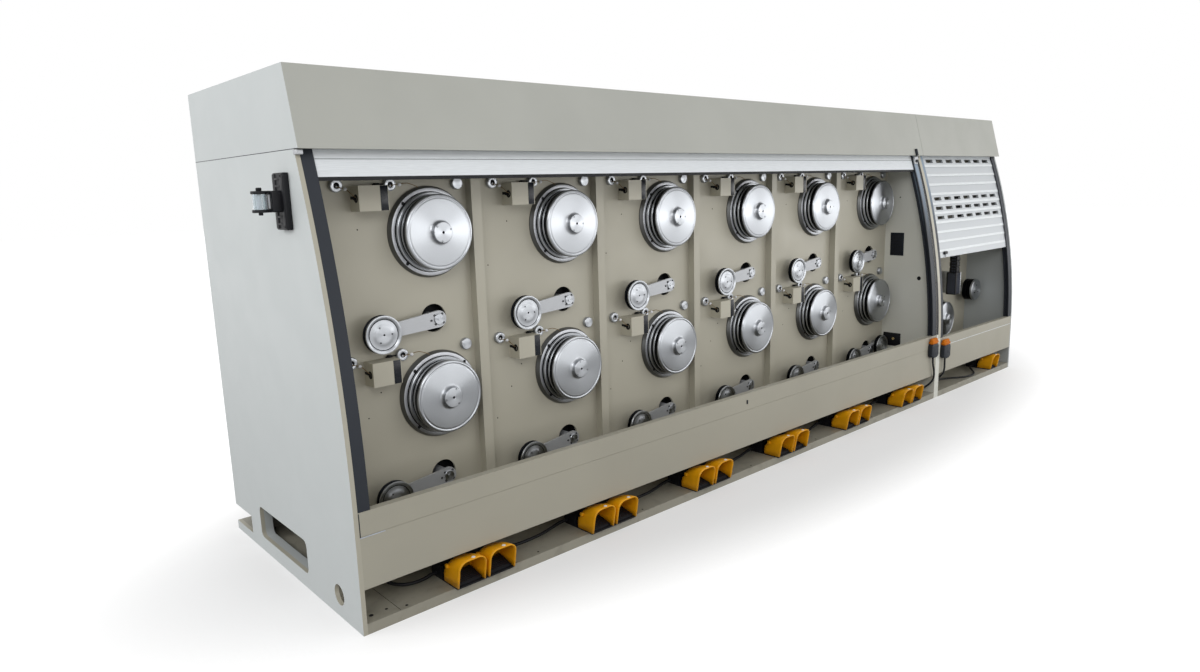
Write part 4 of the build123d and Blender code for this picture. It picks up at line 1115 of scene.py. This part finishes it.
class WIREMACHINE_OT_die_boxes(bpy.types.Operator):
    """Fits the dark windows, the dies and the rods of the die boxes"""

    bl_idname = "wire_machine.die_boxes"
    bl_label = "Die box fittings"

    def execute(self, context):
        window, dark = 0, 1
        fittings = bmesh.new()
        middle = DIE_BOX_H / 2
        left = DIE_BOX_X[0]
        front = (DIE_BOX_FRONT, DIE_BOX_FRONT + 2.9)
        block(fittings, DIE_WINDOW_X, front, (1, DIE_BOX_H - 1), 0.5, window, origin=ORIGIN)
        # The die holder fills the slot behind the keyhole and a die ring lines its round passage,
        # both dark, painted shade inside the keyhole; the wire's way stays open
        holder_z = (middle - 5.5, middle + 5.5)
        block(fittings, (left + 2, left + 60), (403, 419), holder_z, 0.5, dark, origin=ORIGIN)
        ring = [(9.8, left + 1), (9.8, left + 40), (4, left + 40), (4, left + 14), (8, left + 1)]
        ring += ring[:1]
        lathe(fittings, of_one(ring, dark), local(0, KEYHOLE_Y, middle), RIGHT_AXIS, 24)
        # A dark round patch round the die on the left face, and a dark bar beside it
        face = (left - 0.8, left + 0.5)
        patch = [(8.5, face[0]), (17, face[0]), (17, face[1]), (8.5, face[1]), (8.5, face[0])]
        lathe(fittings, of_one(patch, dark), local(0, KEYHOLE_Y - 5, middle), RIGHT_AXIS, 24)
        block(fittings, face, (402, 436), (middle - 3, middle + 9), 0.3, dark, 1, origin=ORIGIN)
        # The rod that leans out over the box, and its foot on the wall
        rod_z = DIE_BOX_H + 2
        rod(fittings, [local(392, 431, rod_z + 1), local(446, 431, rod_z + 3)], 3, dark)
        block(fittings, (400, 420), (424, WALL_Y), (rod_z - 2, rod_z + 8), 2, dark, origin=ORIGIN)
        mesh = mesh_from("die_box_fittings", fittings, ("smoked_window", "shadow_hole"))
        rows = [at(shift, 0, low) for _, _, shift, _, _, low, _ in bay_rows()]
        copies("die_box_fittings", mesh, rows, None, slot="guide_black")
        return {"FINISHED"}


class WIREMACHINE_OT_guides(bpy.types.Operator):
    """Turns the round wire guides on the wall, with their eyes and the wire ends in them"""

    bl_idname = "wire_machine.guides"
    bl_label = "Wire guides"

    def execute(self, context):
        bright, dark, wire, pale = 0, 1, 2, 3
        metals = ("turned_aluminium", "shadow_hole", "drawn_wire", "white_film_and_highlight")
        rows = [(shift, z) for _, _, shift, _, _, _, z in bay_rows()]
        foot = [(GUIDE_R, 5), (GUIDE_R, 20), (0, 20)]

        ringed = bmesh.new()
        ring = of_one([(0, 9), (9, 9), (11, 4)], dark)
        ring += of_one([(12, 1.2), (14, 0.4), (20, 0.2), (24, 0.8), (26, 2.4), *foot], bright)
        lathe(ringed, ring, ORIGIN, segments=40)
        # The pale button low in the eye is a painted highlight, for the bright crescent inside the
        # eye
        button = of_one([(0, 3.5), (3, 4), (4.5, 6), (4.5, 9), (0, 9)], pale)
        lathe(ringed, button, local(2, 0, -5), segments=16)
        mesh = mesh_from("ring_guide", ringed, metals)
        places = [at(x + shift, GUIDE_FRONT, z) for shift, z in rows for x in RING_GUIDE_X]
        copies("ring_guides", mesh, places, None, slot="guide_steel", replaced=("wire_guides",))

        plain = bmesh.new()
        knob = of_one([(0, 0.5), (21, 0.5), (24, 0.8), (26, 2.5), *foot], 0)
        lathe(plain, knob, ORIGIN, segments=40)
        mesh = mesh_from("plain_guide", plain, ("turned_aluminium",))
        places = [at(PLAIN_GUIDE_X + shift, GUIDE_FRONT, z) for shift, z in rows]
        copies("plain_guides", mesh, places, None, slot="guide_steel")

        ends = bmesh.new()
        bead = of_one([(0, -7), (5, -6), (7.3, -1), (7.3, 3), (4.5, 7.5), (0, 8)], pale)
        for place in WIRE_BEADS:
            lathe(ends, bead, local(*place), RIGHT_AXIS, 16)
        for route in WIRE_ENDS:
            rod(ends, [local(*place) for place in route], WIRE_R, wire, 6)
        places = [at(shift, 0, z) for shift, z in rows]
        mesh = mesh_from("wire_end", ends, metals)
        copies("wire_ends", mesh, places, None, slot="guide_steel")

        plate = bmesh.new()
        block(plate, *EYE_PLATE, 3, 0)
        eye = of_one([(9, -6), (9, 1), (4, 1), (4, -3), (6, -6), (9, -6)], 1)
        lathe(plate, eye, at(*EYE_PLACE), RIGHT_AXIS, 24)
        mesh = mesh_from("eye_plate", plate, ("black_plastic", "brass"))
        new_piece("eye_plate", mesh, "frame")
        return {"FINISHED"}


def guard_arch(top):
    """A foot guard's arch as (x, z), from its left foot to its right one."""
    half = GUARD_HALF - GUARD_SHEET / 2
    rise = [(1 - math.cos(a), 1 - math.sin(a)) for a in quarter(8)]
    rise = [(-half + GUARD_ROUND * across, top - GUARD_ROUND * down) for across, down in rise]
    left = [(-half, GUARD_LOW), (-half, (GUARD_LOW + top - GUARD_ROUND) / 2), *rise]
    return left + [(-x, z) for x, z in reversed(left)]


def guard_shell():
    """A foot guard about its own origin: a rounded hood that leans forward, closed behind."""
    stations = 10
    shape = bmesh.new()
    rings = []
    for step in range(stations + 1):
        back = step / stations
        top = GUARD_TOP - GUARD_SHEET / 2 - GUARD_BACK_DROP * back**1.6
        ring = []
        for x, z in guard_arch(top):
            high = (z - GUARD_LOW) / (top - GUARD_LOW)
            front_y = GUARD_FRONT_FOOT + (GUARD_FRONT_TOP - GUARD_FRONT_FOOT) * high
            back_y = GUARD_BACK_FOOT + (GUARD_BACK_TOP - GUARD_BACK_FOOT) * high - GUARD_SHEET / 2
            ring.append(shape.verts.new(local(x, front_y + (back_y - front_y) * back, z)))
        rings.append(ring)
    for front, rear in zip(rings, rings[1:]):
        for index in range(len(front) - 1):
            shape.faces.new([front[index], front[index + 1], rear[index + 1], rear[index]])
    closed = shape.faces.new(rings[-1])
    foot = GUARD_LOW * MM
    rim = [e for e in closed.edges if not all(abs(v.co.z - foot) < WELD for v in e.verts)]
    round_off(shape, rim, 16, 4)
    piece = helper(mesh_from("guard", shape, ("signal_yellow",), sharp=60))
    wall = piece.modifiers.new("wall", "SOLIDIFY")
    wall.thickness = GUARD_SHEET * MM
    wall.offset = 0
    result = as_mesh(piece)
    bpy.data.objects.remove(piece)
    return result


class WIREMACHINE_OT_foot_guards(bpy.types.Operator):
    """Sets the yellow guards over the pedals"""

    bl_idname = "wire_machine.foot_guards"
    bl_label = "Foot guards"

    def execute(self, context):
        places = [at(x, y, 0) for x, y in GUARD_PLACES]
        settings = {"slot": "guard_yellow", "replaced": ("foot_guards",)}
        copies("yellow_foot_guards", guard_shell(), places, "signal_yellow", **settings)
        trim = bmesh.new()
        # The tab at the rear of the guard's left side, and a white screw-shaped cap on its crest, a
        # painted highlight
        tab_x = (-GUARD_HALF - 9, -GUARD_HALF + 4)
        block(trim, tab_x, (40, 58), (116, 134), 4, 0, 3, origin=ORIGIN)
        screw = [(0, 1.6), (7, 1.2), (9, -1), (9, -5), (0, -5)]
        lathe(trim, of_one(screw, 1), local(8, -34, GUARD_TOP), UP_AXIS, 16)
        mesh = mesh_from("guard_trim", trim, ("signal_yellow", "white_film_and_highlight"))
        copies("guard_trim", mesh, places, None, slot="guard_yellow")
        rib = bmesh.new()
        block(rib, (-50, 50), (-1.2, 1.2), (-1.5, 2), 0.6, origin=ORIGIN)
        # The pedal rises to the rear by a quarter
        steps = [local(0, y, 59.5 + (y + 8) * 0.25) for y in PEDAL_RIB_Y]
        ribs = [place + step for place in places for step in steps]
        mesh = mesh_from("rib", rib, ("black_plastic",))
        copies("pedal_ribs", mesh, ribs, "black_plastic", slot="switch_black")
        return {"FINISHED"}


class WIREMACHINE_OT_connectors(bpy.types.Operator):
    """Moulds the two connectors that hang on the belts, with their caps"""

    bl_idname = "wire_machine.connectors"
    bl_label = "Cord connectors"

    def execute(self, context):
        shape = bmesh.new()
        depths = (0, -CONNECTOR_T)
        for x, top in CONNECTORS:
            foot = top - CONNECTOR_H
            outline = [(-50, foot + 20), (-50, top - 26), (-40, top - 12), (44, top - 12)]
            outline += [(54, top - 26), (54, foot + 20), (46, foot + 10), (22, foot + 6)]
            outline += [(16, foot), (-16, foot), (-22, foot + 6), (-42, foot + 10)]
            ends = [[shape.verts.new(at(x + a, y, b)) for a, b in outline] for y in depths]
            round_off(shape, edges_of(walled(shape, ends)), 5, 3, clamp_overlap=True)
            cap_y = (-CONNECTOR_T + 3, -3)
            block(shape, (x - 40, x + 46), cap_y, (top - 20, top + 30), 12, 1, 5)
            collar_y = (-CONNECTOR_T + 1, -1)
            block(shape, (x - 44, x + 50), collar_y, (top - 9, top + 8), 4, 1, 2)
        mesh = mesh_from("connectors", shape, ("grey_plastic", "orange_cap"), sharp=50)
        new_piece("connectors_moulded", mesh, "frame", ("cord_connectors",))
        return {"FINISHED"}


class WIREMACHINE_OT_air_filter(bpy.types.Operator):
    """Builds the air filter with its clear bowl"""

    bl_idname = "wire_machine.air_filter"
    bl_label = "Air filter"

    def execute(self, context):
        black, pale, bright = 0, 1, 2
        shape = bmesh.new()
        axis = at(*FILTER_AXIS, 0)
        # The plate on the panel with its rails, ribs and two screws
        block(shape, (-22, 0), FILTER_Y, FILTER_Z, 3, black, 3)
        for y in (297, 368):
            block(shape, (-26, -4), (y, y + 25), (1516, 1716), 3, black, 2)
        for z in (1534, 1560, 1672, 1698):
            block(shape, (-26, -18), (318, 372), (z - 4, z + 4), 1.5, black)
        screw = of_one([(0, -26), (5, -26), (6, -25), (6, -20), (0, -20)], bright)
        for z in (1524, 1708):
            lathe(shape, screw, at(0, 309, z), RIGHT_AXIS, 16)
        # The body with its label, and an arm and a cap above and below the bowl
        block(shape, (-60, -20), (315, 377), (1578, 1656), 5, black, 3)
        block(shape, (-61.5, -58), (338, 354), (1592, 1642), 1, pale)
        for z in FILTER_CAPS:
            block(shape, (FILTER_AXIS[0], -50), (332, 360), (z - 11, z), 2, black)
            cap = [(0, z - 11), (27, z - 11), (29, z - 9), (29, z - 2), (27, z), (0, z)]
            lathe(shape, of_one(cap, black), axis, UP_AXIS, 48)
        # The knob, the drain and the element in the bowl
        knob = [(0, 1656), (9, 1656), (10, 1658), (10, 1666), (8, 1668), (0, 1668)]
        lathe(shape, of_one(knob, black), axis, UP_AXIS, 24)
        drain = [(0, 1568), (6, 1568), (8, 1570), (8, 1578), (0, 1578)]
        lathe(shape, of_one(drain, black), axis, UP_AXIS, 24)
        element = [(0, 1588), (11, 1588), (11, 1640), (8, 1645), (0, 1645)]
        lathe(shape, of_one(element, pale), axis, UP_AXIS, 24)
        mesh = mesh_from("filter", shape, ("black_plastic", "white_film_and_highlight", "bright_steel"))
        new_piece("air_filter_body", mesh, "frame", ("air_filter",))
        bowl = bmesh.new()
        wall = [(25, 1588.5), (25, 1645.5), (21, 1645.5), (21, 1588.5), (25, 1588.5)]
        lathe(bowl, of_one(wall, 0), axis, UP_AXIS, 48)
        mesh = mesh_from("bowl", bowl, ("clear_bowl",))
        new_piece("air_filter_bowl", mesh, "frame")
        return {"FINISHED"}


def grid(rows, columns):
    """Each row and column number, a row at a time."""
    return [(row, column) for row in range(rows) for column in range(columns)]


class WIREMACHINE_OT_cable_chain(bpy.types.Operator):
    """Links the cable chain of the outlet unit"""

    bl_idname = "wire_machine.cable_chain"
    bl_label = "Cable chain"

    def execute(self, context):
        link = bmesh.new()
        block(link, (-30, 30), (0, 65), (0, 40), 6, origin=ORIGIN)
        block(link, (-24, 24), (6, 62), (38, 47), 2, origin=ORIGIN)
        first = at(CHAIN_X, CHAIN_FRONT, CHAIN_END_Z[1])
        places = [first + local(0, 0, CHAIN_PITCH * number) for number in range(CHAIN_LINKS)]
        mesh = mesh_from("link", link, ("black_plastic",))
        settings = {"slot": "guide_black", "replaced": ("cable_chain",)}
        copies("cable_chain_links", mesh, places, "black_plastic", **settings)
        # The end piece with its steel plate, and the bracket that the chain hangs on
        end = bmesh.new()
        left, right = CHAIN_END_X
        block(end, CHAIN_END_X, (240, 322), CHAIN_END_Z, 5, 0, 3)
        block(end, (right, right + 8), (237, 400), CHAIN_END_Z, 1, 1)
        block(end, (CHAIN_X - 30, CHAIN_X + 30), (308, 400), (1696, 1736), 3, 0)
        mesh = mesh_from("chain_end", end, ("black_plastic", "bright_steel"))
        new_piece("cable_chain_end", mesh, "frame")
        # Small pale squares on the lattices of the end piece and the links are painted highlights
        # where the lattice catches the light
        window = bmesh.new()
        block(window, (-1.5, 1), (-4.2, 4.2), (-3.8, 3.8), 0.8, origin=ORIGIN)
        lattice = [(20 * column + 10 * (row % 2), 690 + 10 * row) for row, column in grid(17, 3)]
        squares = [(left, 253 + along, z) for along, z in lattice]
        squares += [(5432.5, 262 + 18 * column, 872 + 23 * row) for row, column in grid(37, 2)]
        squares += [(left + 20 + along, 239.5, z) for along, z in lattice]
        mesh = mesh_from("lattice", window, ("lattice_highlight_plastic",))
        places = [at(*place) for place in squares]
        copies("cable_chain_lattice", mesh, places, "lattice_highlight_plastic", slot="guide_black")
        return {"FINISHED"}


def add_slat_lips(shape, material):
    """The lower edge of each outlet slat, which is rounded and painted paler than the slat as a
    painted highlight.
    """
    for slat in range(SLATS):
        low = SLATS_LOW + slat * SLAT_PITCH
        lips = [(low + 0.8, 10.4), (low + 5, 9.2), (low + 12, 9.4), (low + 19, 10.8)]
        lips += [(low + 19, 14), (low + 0.8, 14)]
        outline = [(curve_y(z, inset), z) for z, inset in lips]
        prism(shape, outline, *OUTLET_SHUTTER_X, material)


def add_slot_bars(slat):
    """Dark bars above and below a slat's slots, which stand proud of it: a painted shadow of the
    slots' cut edges.
    """
    low = SLATS_LOW + slat * SLAT_PITCH
    foot, top = SLAT_INSETS
    lean = (curve_y(low + SLAT_PITCH, top) - curve_y(low, foot)) / SLAT_PITCH
    slot_shadows = bmesh.new()
    for bottom, top in SLOT_SHADOW_BARS:
        corners = ((-0.6, bottom), (1, bottom), (1, top), (-0.6, top))
        outline = [(curve_y(low, foot) + lean * rise + y, low + rise) for y, rise in corners]
        prism(slot_shadows, outline, -SLOT_HALF, SLOT_HALF, origin=ORIGIN)
    mesh = mesh_from("slot_shadow_bar", slot_shadows, ("shadow_hole",))
    columns = range(-SLOTS_ASIDE, SLOTS_ASIDE + 1)
    places = [at(SLOT_MIDDLE + SLOT_PITCH * column, 0, 0) for column in columns]
    copies(f"slot_frames_{low}", mesh, places, "shadow_hole")


def add_locks():
    """The round locks near the corners of the rear panels."""
    lock = bmesh.new()
    steps = [(5, 0.8), (13, 0.8), (14, 0), (14, -1), (0, -1)]
    lathe(lock, of_one([(0, 0.3), (4, 0.3)], 1) + of_one(steps, 0), ORIGIN, segments=24)
    places = []
    for low, high, count in REAR_PANELS:
        width = (high - low) / count
        for number in range(count):
            left = low + number * width
            for x in (left + LOCK_INSET, left + width - LOCK_INSET):
                places += [at(x, DEPTH, z) for z in LOCK_Z]
    mesh = mesh_from("lock", lock, ("black_plastic", "bright_steel"))
    copies("rear_panel_locks", mesh, places, None)


class WIREMACHINE_OT_fittings(bpy.types.Operator):
    """Adds the small fittings of the sheets: strips, latch, plates, seams, bolts and locks"""

    bl_idname = "wire_machine.fittings"
    bl_label = "Sheet fittings"

    def execute(self, context):
        rubber, steel, black, film, hole, line, lip, vent, coat = range(9)
        names = ("black_rubber", "brushed_plate", "black_plastic", "blue_film", "shadow_hole")
        names += ("grey_plastic", "lacquered_lip_highlight", "vent_plate", "box_powder_coat")
        shape = bmesh.new()
        curve_strip(shape, SHUTTER_X, *SHUTTER_FOOT, SHUTTER_INSET, 19, rubber, 2)
        curve_strip(shape, SHUTTER_X, *SHUTTER_JOINT, SHUTTER_INSET, 6, line, 2)
        # Latch on the bottom rail of the outlet shutter, the lips of its slats, painted paler as a
        # painted highlight, and dark bars at its slots, painted shadow
        y = curve_y(SLATS_LOW, SLAT_INSETS[0])
        block(shape, (4774, 4826), (y - 15, y + 2), (1068, 1092), 7, black, 3)
        add_slat_lips(shape, lip)
        for slat in SLOT_SLATS:
            add_slot_bars(slat)
        # Steel corner fittings of the main shutter with their black pads, and the hood's pin
        block(shape, (-2, 24), (200, 232), (1779, 1797), 3, steel, 3)
        block(shape, (4, 12), (curve_y(1794, 1), curve_y(1794, 12)), (1786, 1799), 2, black)
        y = curve_y(1766)
        block(shape, (4548, PARTITION_X), (y - 12, y + 6), (1740, 1796), 5, steel, 3)
        block(shape, (4556, 4598), (y - 18, y - 8), (1750, 1772), 6, black, 3)
        y = curve_y(1790, 1)
        block(shape, (4590, 4636), (y - 8, y + 6), (1782, 1798), 4, black, 2)
        rod(shape, [at(4537, 181, 1801), at(4537, 193, 1846)], 10, line, 16)
        # Vented plate and holes on the left face of the partition
        block(shape, (PARTITION_X - 3, PARTITION_X), (287, 394), (1063, 1236), 1, vent)
        for step in range(14):
            z = 1074 + step * 11.5
            block(shape, (PARTITION_X - 4.2, PARTITION_X - 2), (295, 386), (z, z + 5), 1, hole)
        for y, z, radius in PARTITION_HOLES:
            plug(shape, at(0, y, z), radius, PARTITION_X - 1, PARTITION_X, hole, RIGHT_AXIS)
        # Black and cream strips on the partition's front, between the guide rails
        curve_strip(shape, (PARTITION_X, 4629), 486, 1780, -0.6, 3, black)
        curve_strip(shape, (4629, 4665.2), 453, 1798, -0.6, 3, coat)
        # Seam between the hood and the left end panel
        seam = (HOOD_BASE - 1.2, HOOD_BASE + 1.2)
        block(shape, (-0.6, 0.4), (190, DEPTH - 2), seam, 0.2, line)
        # Film left on the lower edge of the belt, and the belts' seams and clip
        block(shape, (19, 120), (-1.2, 0.5), (385, 389), 0.4, film)
        block(shape, (18.5, 22), (-1, 0.5), (389, 482), 0.4, line)
        block(shape, (2316, 2326), (-4, 1), (426, 448), 1, line)
        block(shape, (PARTITION_X - 1, PARTITION_X + 0.5), (-0.6, 0.5), (181, 485), 0.2, line)
        # A pale strip along the front edge of the outlet belt's folded top, a painted highlight
        block(shape, (4730, 5981), (-1, 1), (386, 390.5), 0.5, lip)
        # Seam and bolt holes in the ledge
        block(shape, (159, 161), (5, 245), (LEDGE_Z, LEDGE_Z + 1.4), 0.2, hole)
        for x, y, radius in LEDGE_HOLES:
            plug(shape, at(x, y, 0), radius, LEDGE_Z + 1.6, LEDGE_Z, hole, UP_AXIS, 20)
        new_piece("sheet_fittings", mesh_from("fittings", shape, names), "frame")

        dot = bmesh.new()
        plug(dot, ORIGIN, 3.2, -0.4, 0.5, 0, segments=12)
        shifts = [bay * BAY_PITCH for bay in range(BAYS)]
        places = [at(x + shift, WALL_Y, z) for shift in shifts for x, z in WALL_DOTS]
        copies("wall_dots", mesh_from("dot", dot, ("shadow_hole",)), places, "shadow_hole")
        add_locks()
        return {"FINISHED"}


class WIREMACHINE_OT_stage(bpy.types.Operator):
    """Sets the pale floor and the soft light"""

    bl_idname = "wire_machine.stage"
    bl_label = "Floor and light"

    def execute(self, context):
        scene = context.scene
        scene.view_settings.view_transform = "Standard"
        world = bpy.data.worlds.new("studio")
        world.use_nodes = True
        scene.world = world
        tree = world.node_tree
        tree.nodes.clear()
        path = node(tree, "ShaderNodeLightPath").outputs
        # The surroundings are white where they are seen, and give a softer light
        seen = 0.0
        for ray in ("Is Camera Ray", "Is Glossy Ray", "Is Transmission Ray"):
            links = {0: seen, 1: path[ray]}
            seen = node(tree, "ShaderNodeMath", links, operation="MAXIMUM").outputs[0]
        links = {"Value": seen, "To Min": scene.wire_machine.light_level, "To Max": 1.0}
        strength = node(tree, "ShaderNodeMapRange", links).outputs["Result"]
        links = {"Color": (1, 1, 1, 1), "Strength": strength}
        background = node(tree, "ShaderNodeBackground", links)
        node(tree, "ShaderNodeOutputWorld", {"Surface": background.outputs[0]})

        floor_mesh = bpy.data.meshes.new("floor")
        signs = ((-1, -1), (1, -1), (1, 1), (-1, 1))
        corners = [(FLOOR_REACH * x, FLOOR_REACH * y, 0) for x, y in signs]
        floor_mesh.from_pydata(corners, [], [(0, 1, 2, 3)])
        floor = bpy.data.objects.new("floor", floor_mesh)
        scene.collection.objects.link(floor)
        grey = (FLOOR_GREY, FLOOR_GREY, FLOOR_GREY, 1)
        settings = {"Roughness": 1.0, "Specular_IOR_Level": 0.0, "Emission_Color": (1, 1, 1, 1)}
        tree, shader = new_material("white_floor", Base_Color=grey, **settings)
        # White further out, and grey enough near the machine to keep its shadow
        place = node(tree, "ShaderNodeTexCoord").outputs["Object"]
        path = node(tree, "ShaderNodeLightPath").outputs
        glow = 0.0
        for ray, shape, near, far, dim in FLOOR_GLOW:
            oval = node(tree, "ShaderNodeVectorMath", {0: place, 1: shape}, operation="MULTIPLY")
            links = {0: oval.outputs["Vector"]}
            away = node(tree, "ShaderNodeVectorMath", links, operation="LENGTH").outputs["Value"]
            links = {"Value": away, "From Min": near, "From Max": far, "To Min": dim}
            white = node(tree, "ShaderNodeMapRange", links, interpolation_type="SMOOTHSTEP")
            links = {0: path[ray], 1: white.outputs["Result"], 2: glow}
            glow = node(tree, "ShaderNodeMath", links, operation="MULTIPLY_ADD").outputs[0]
        feed(tree, shader, Emission_Strength=glow)
        floor_mesh.materials.append(bpy.data.materials["white_floor"])

        for name, place, aim, size, power in LAMPS:
            lamp = bpy.data.lights.new(name, "AREA")
            lamp.shape = "RECTANGLE"
            lamp.size, lamp.size_y = size
            lamp.energy = power
            light = bpy.data.objects.new(name, lamp)
            toward = at(*aim) - at(*place)
            turn = toward.to_track_quat("-Z", "Y").to_matrix().to_4x4()
            light.matrix_world = Matrix.Translation(at(*place)) @ turn
            scene.collection.objects.link(light)
        return {"FINISHED"}


OPERATORS = (
    WIREMACHINE_OT_camera,
    WIREMACHINE_OT_cords,
    WIREMACHINE_OT_sheets,
    WIREMACHINE_OT_capstans,
    WIREMACHINE_OT_housings,
    WIREMACHINE_OT_pulleys,
    WIREMACHINE_OT_arms,
    WIREMACHINE_OT_die_boxes,
    WIREMACHINE_OT_guides,
    WIREMACHINE_OT_foot_guards,
    WIREMACHINE_OT_connectors,
    WIREMACHINE_OT_air_filter,
    WIREMACHINE_OT_cable_chain,
    WIREMACHINE_OT_fittings,
    WIREMACHINE_OT_stage,
)


class WIREMACHINE_PT_panel(bpy.types.Panel):
    """Lists the settings and the pieces in the sidebar of the 3D view."""

    bl_label = "Wire Drawing Machine"
    bl_idname = "WIREMACHINE_PT_panel"
    bl_space_type = "VIEW_3D"
    bl_region_type = "UI"
    bl_category = "Wire Machine"

    def draw(self, context):
        settings = context.scene.wire_machine
        for name in WireMachineSettings.__annotations__:
            self.layout.prop(settings, name)
        for operator in OPERATORS:
            self.layout.operator(operator.bl_idname)


def register():
    for part in (WireMachineSettings, *OPERATORS, WIREMACHINE_PT_panel):
        bpy.utils.register_class(part)
    bpy.types.Scene.wire_machine = bpy.props.PointerProperty(type=WireMachineSettings)


def unregister():
    del bpy.types.Scene.wire_machine
    for part in (WIREMACHINE_PT_panel, *reversed(OPERATORS), WireMachineSettings):
        bpy.utils.unregister_class(part)


def main():
    register()
    for operator in OPERATORS:
        group, name = operator.bl_idname.split(".")
        getattr(getattr(bpy.ops, group), name)()


if __name__ == "__main__":
    main()
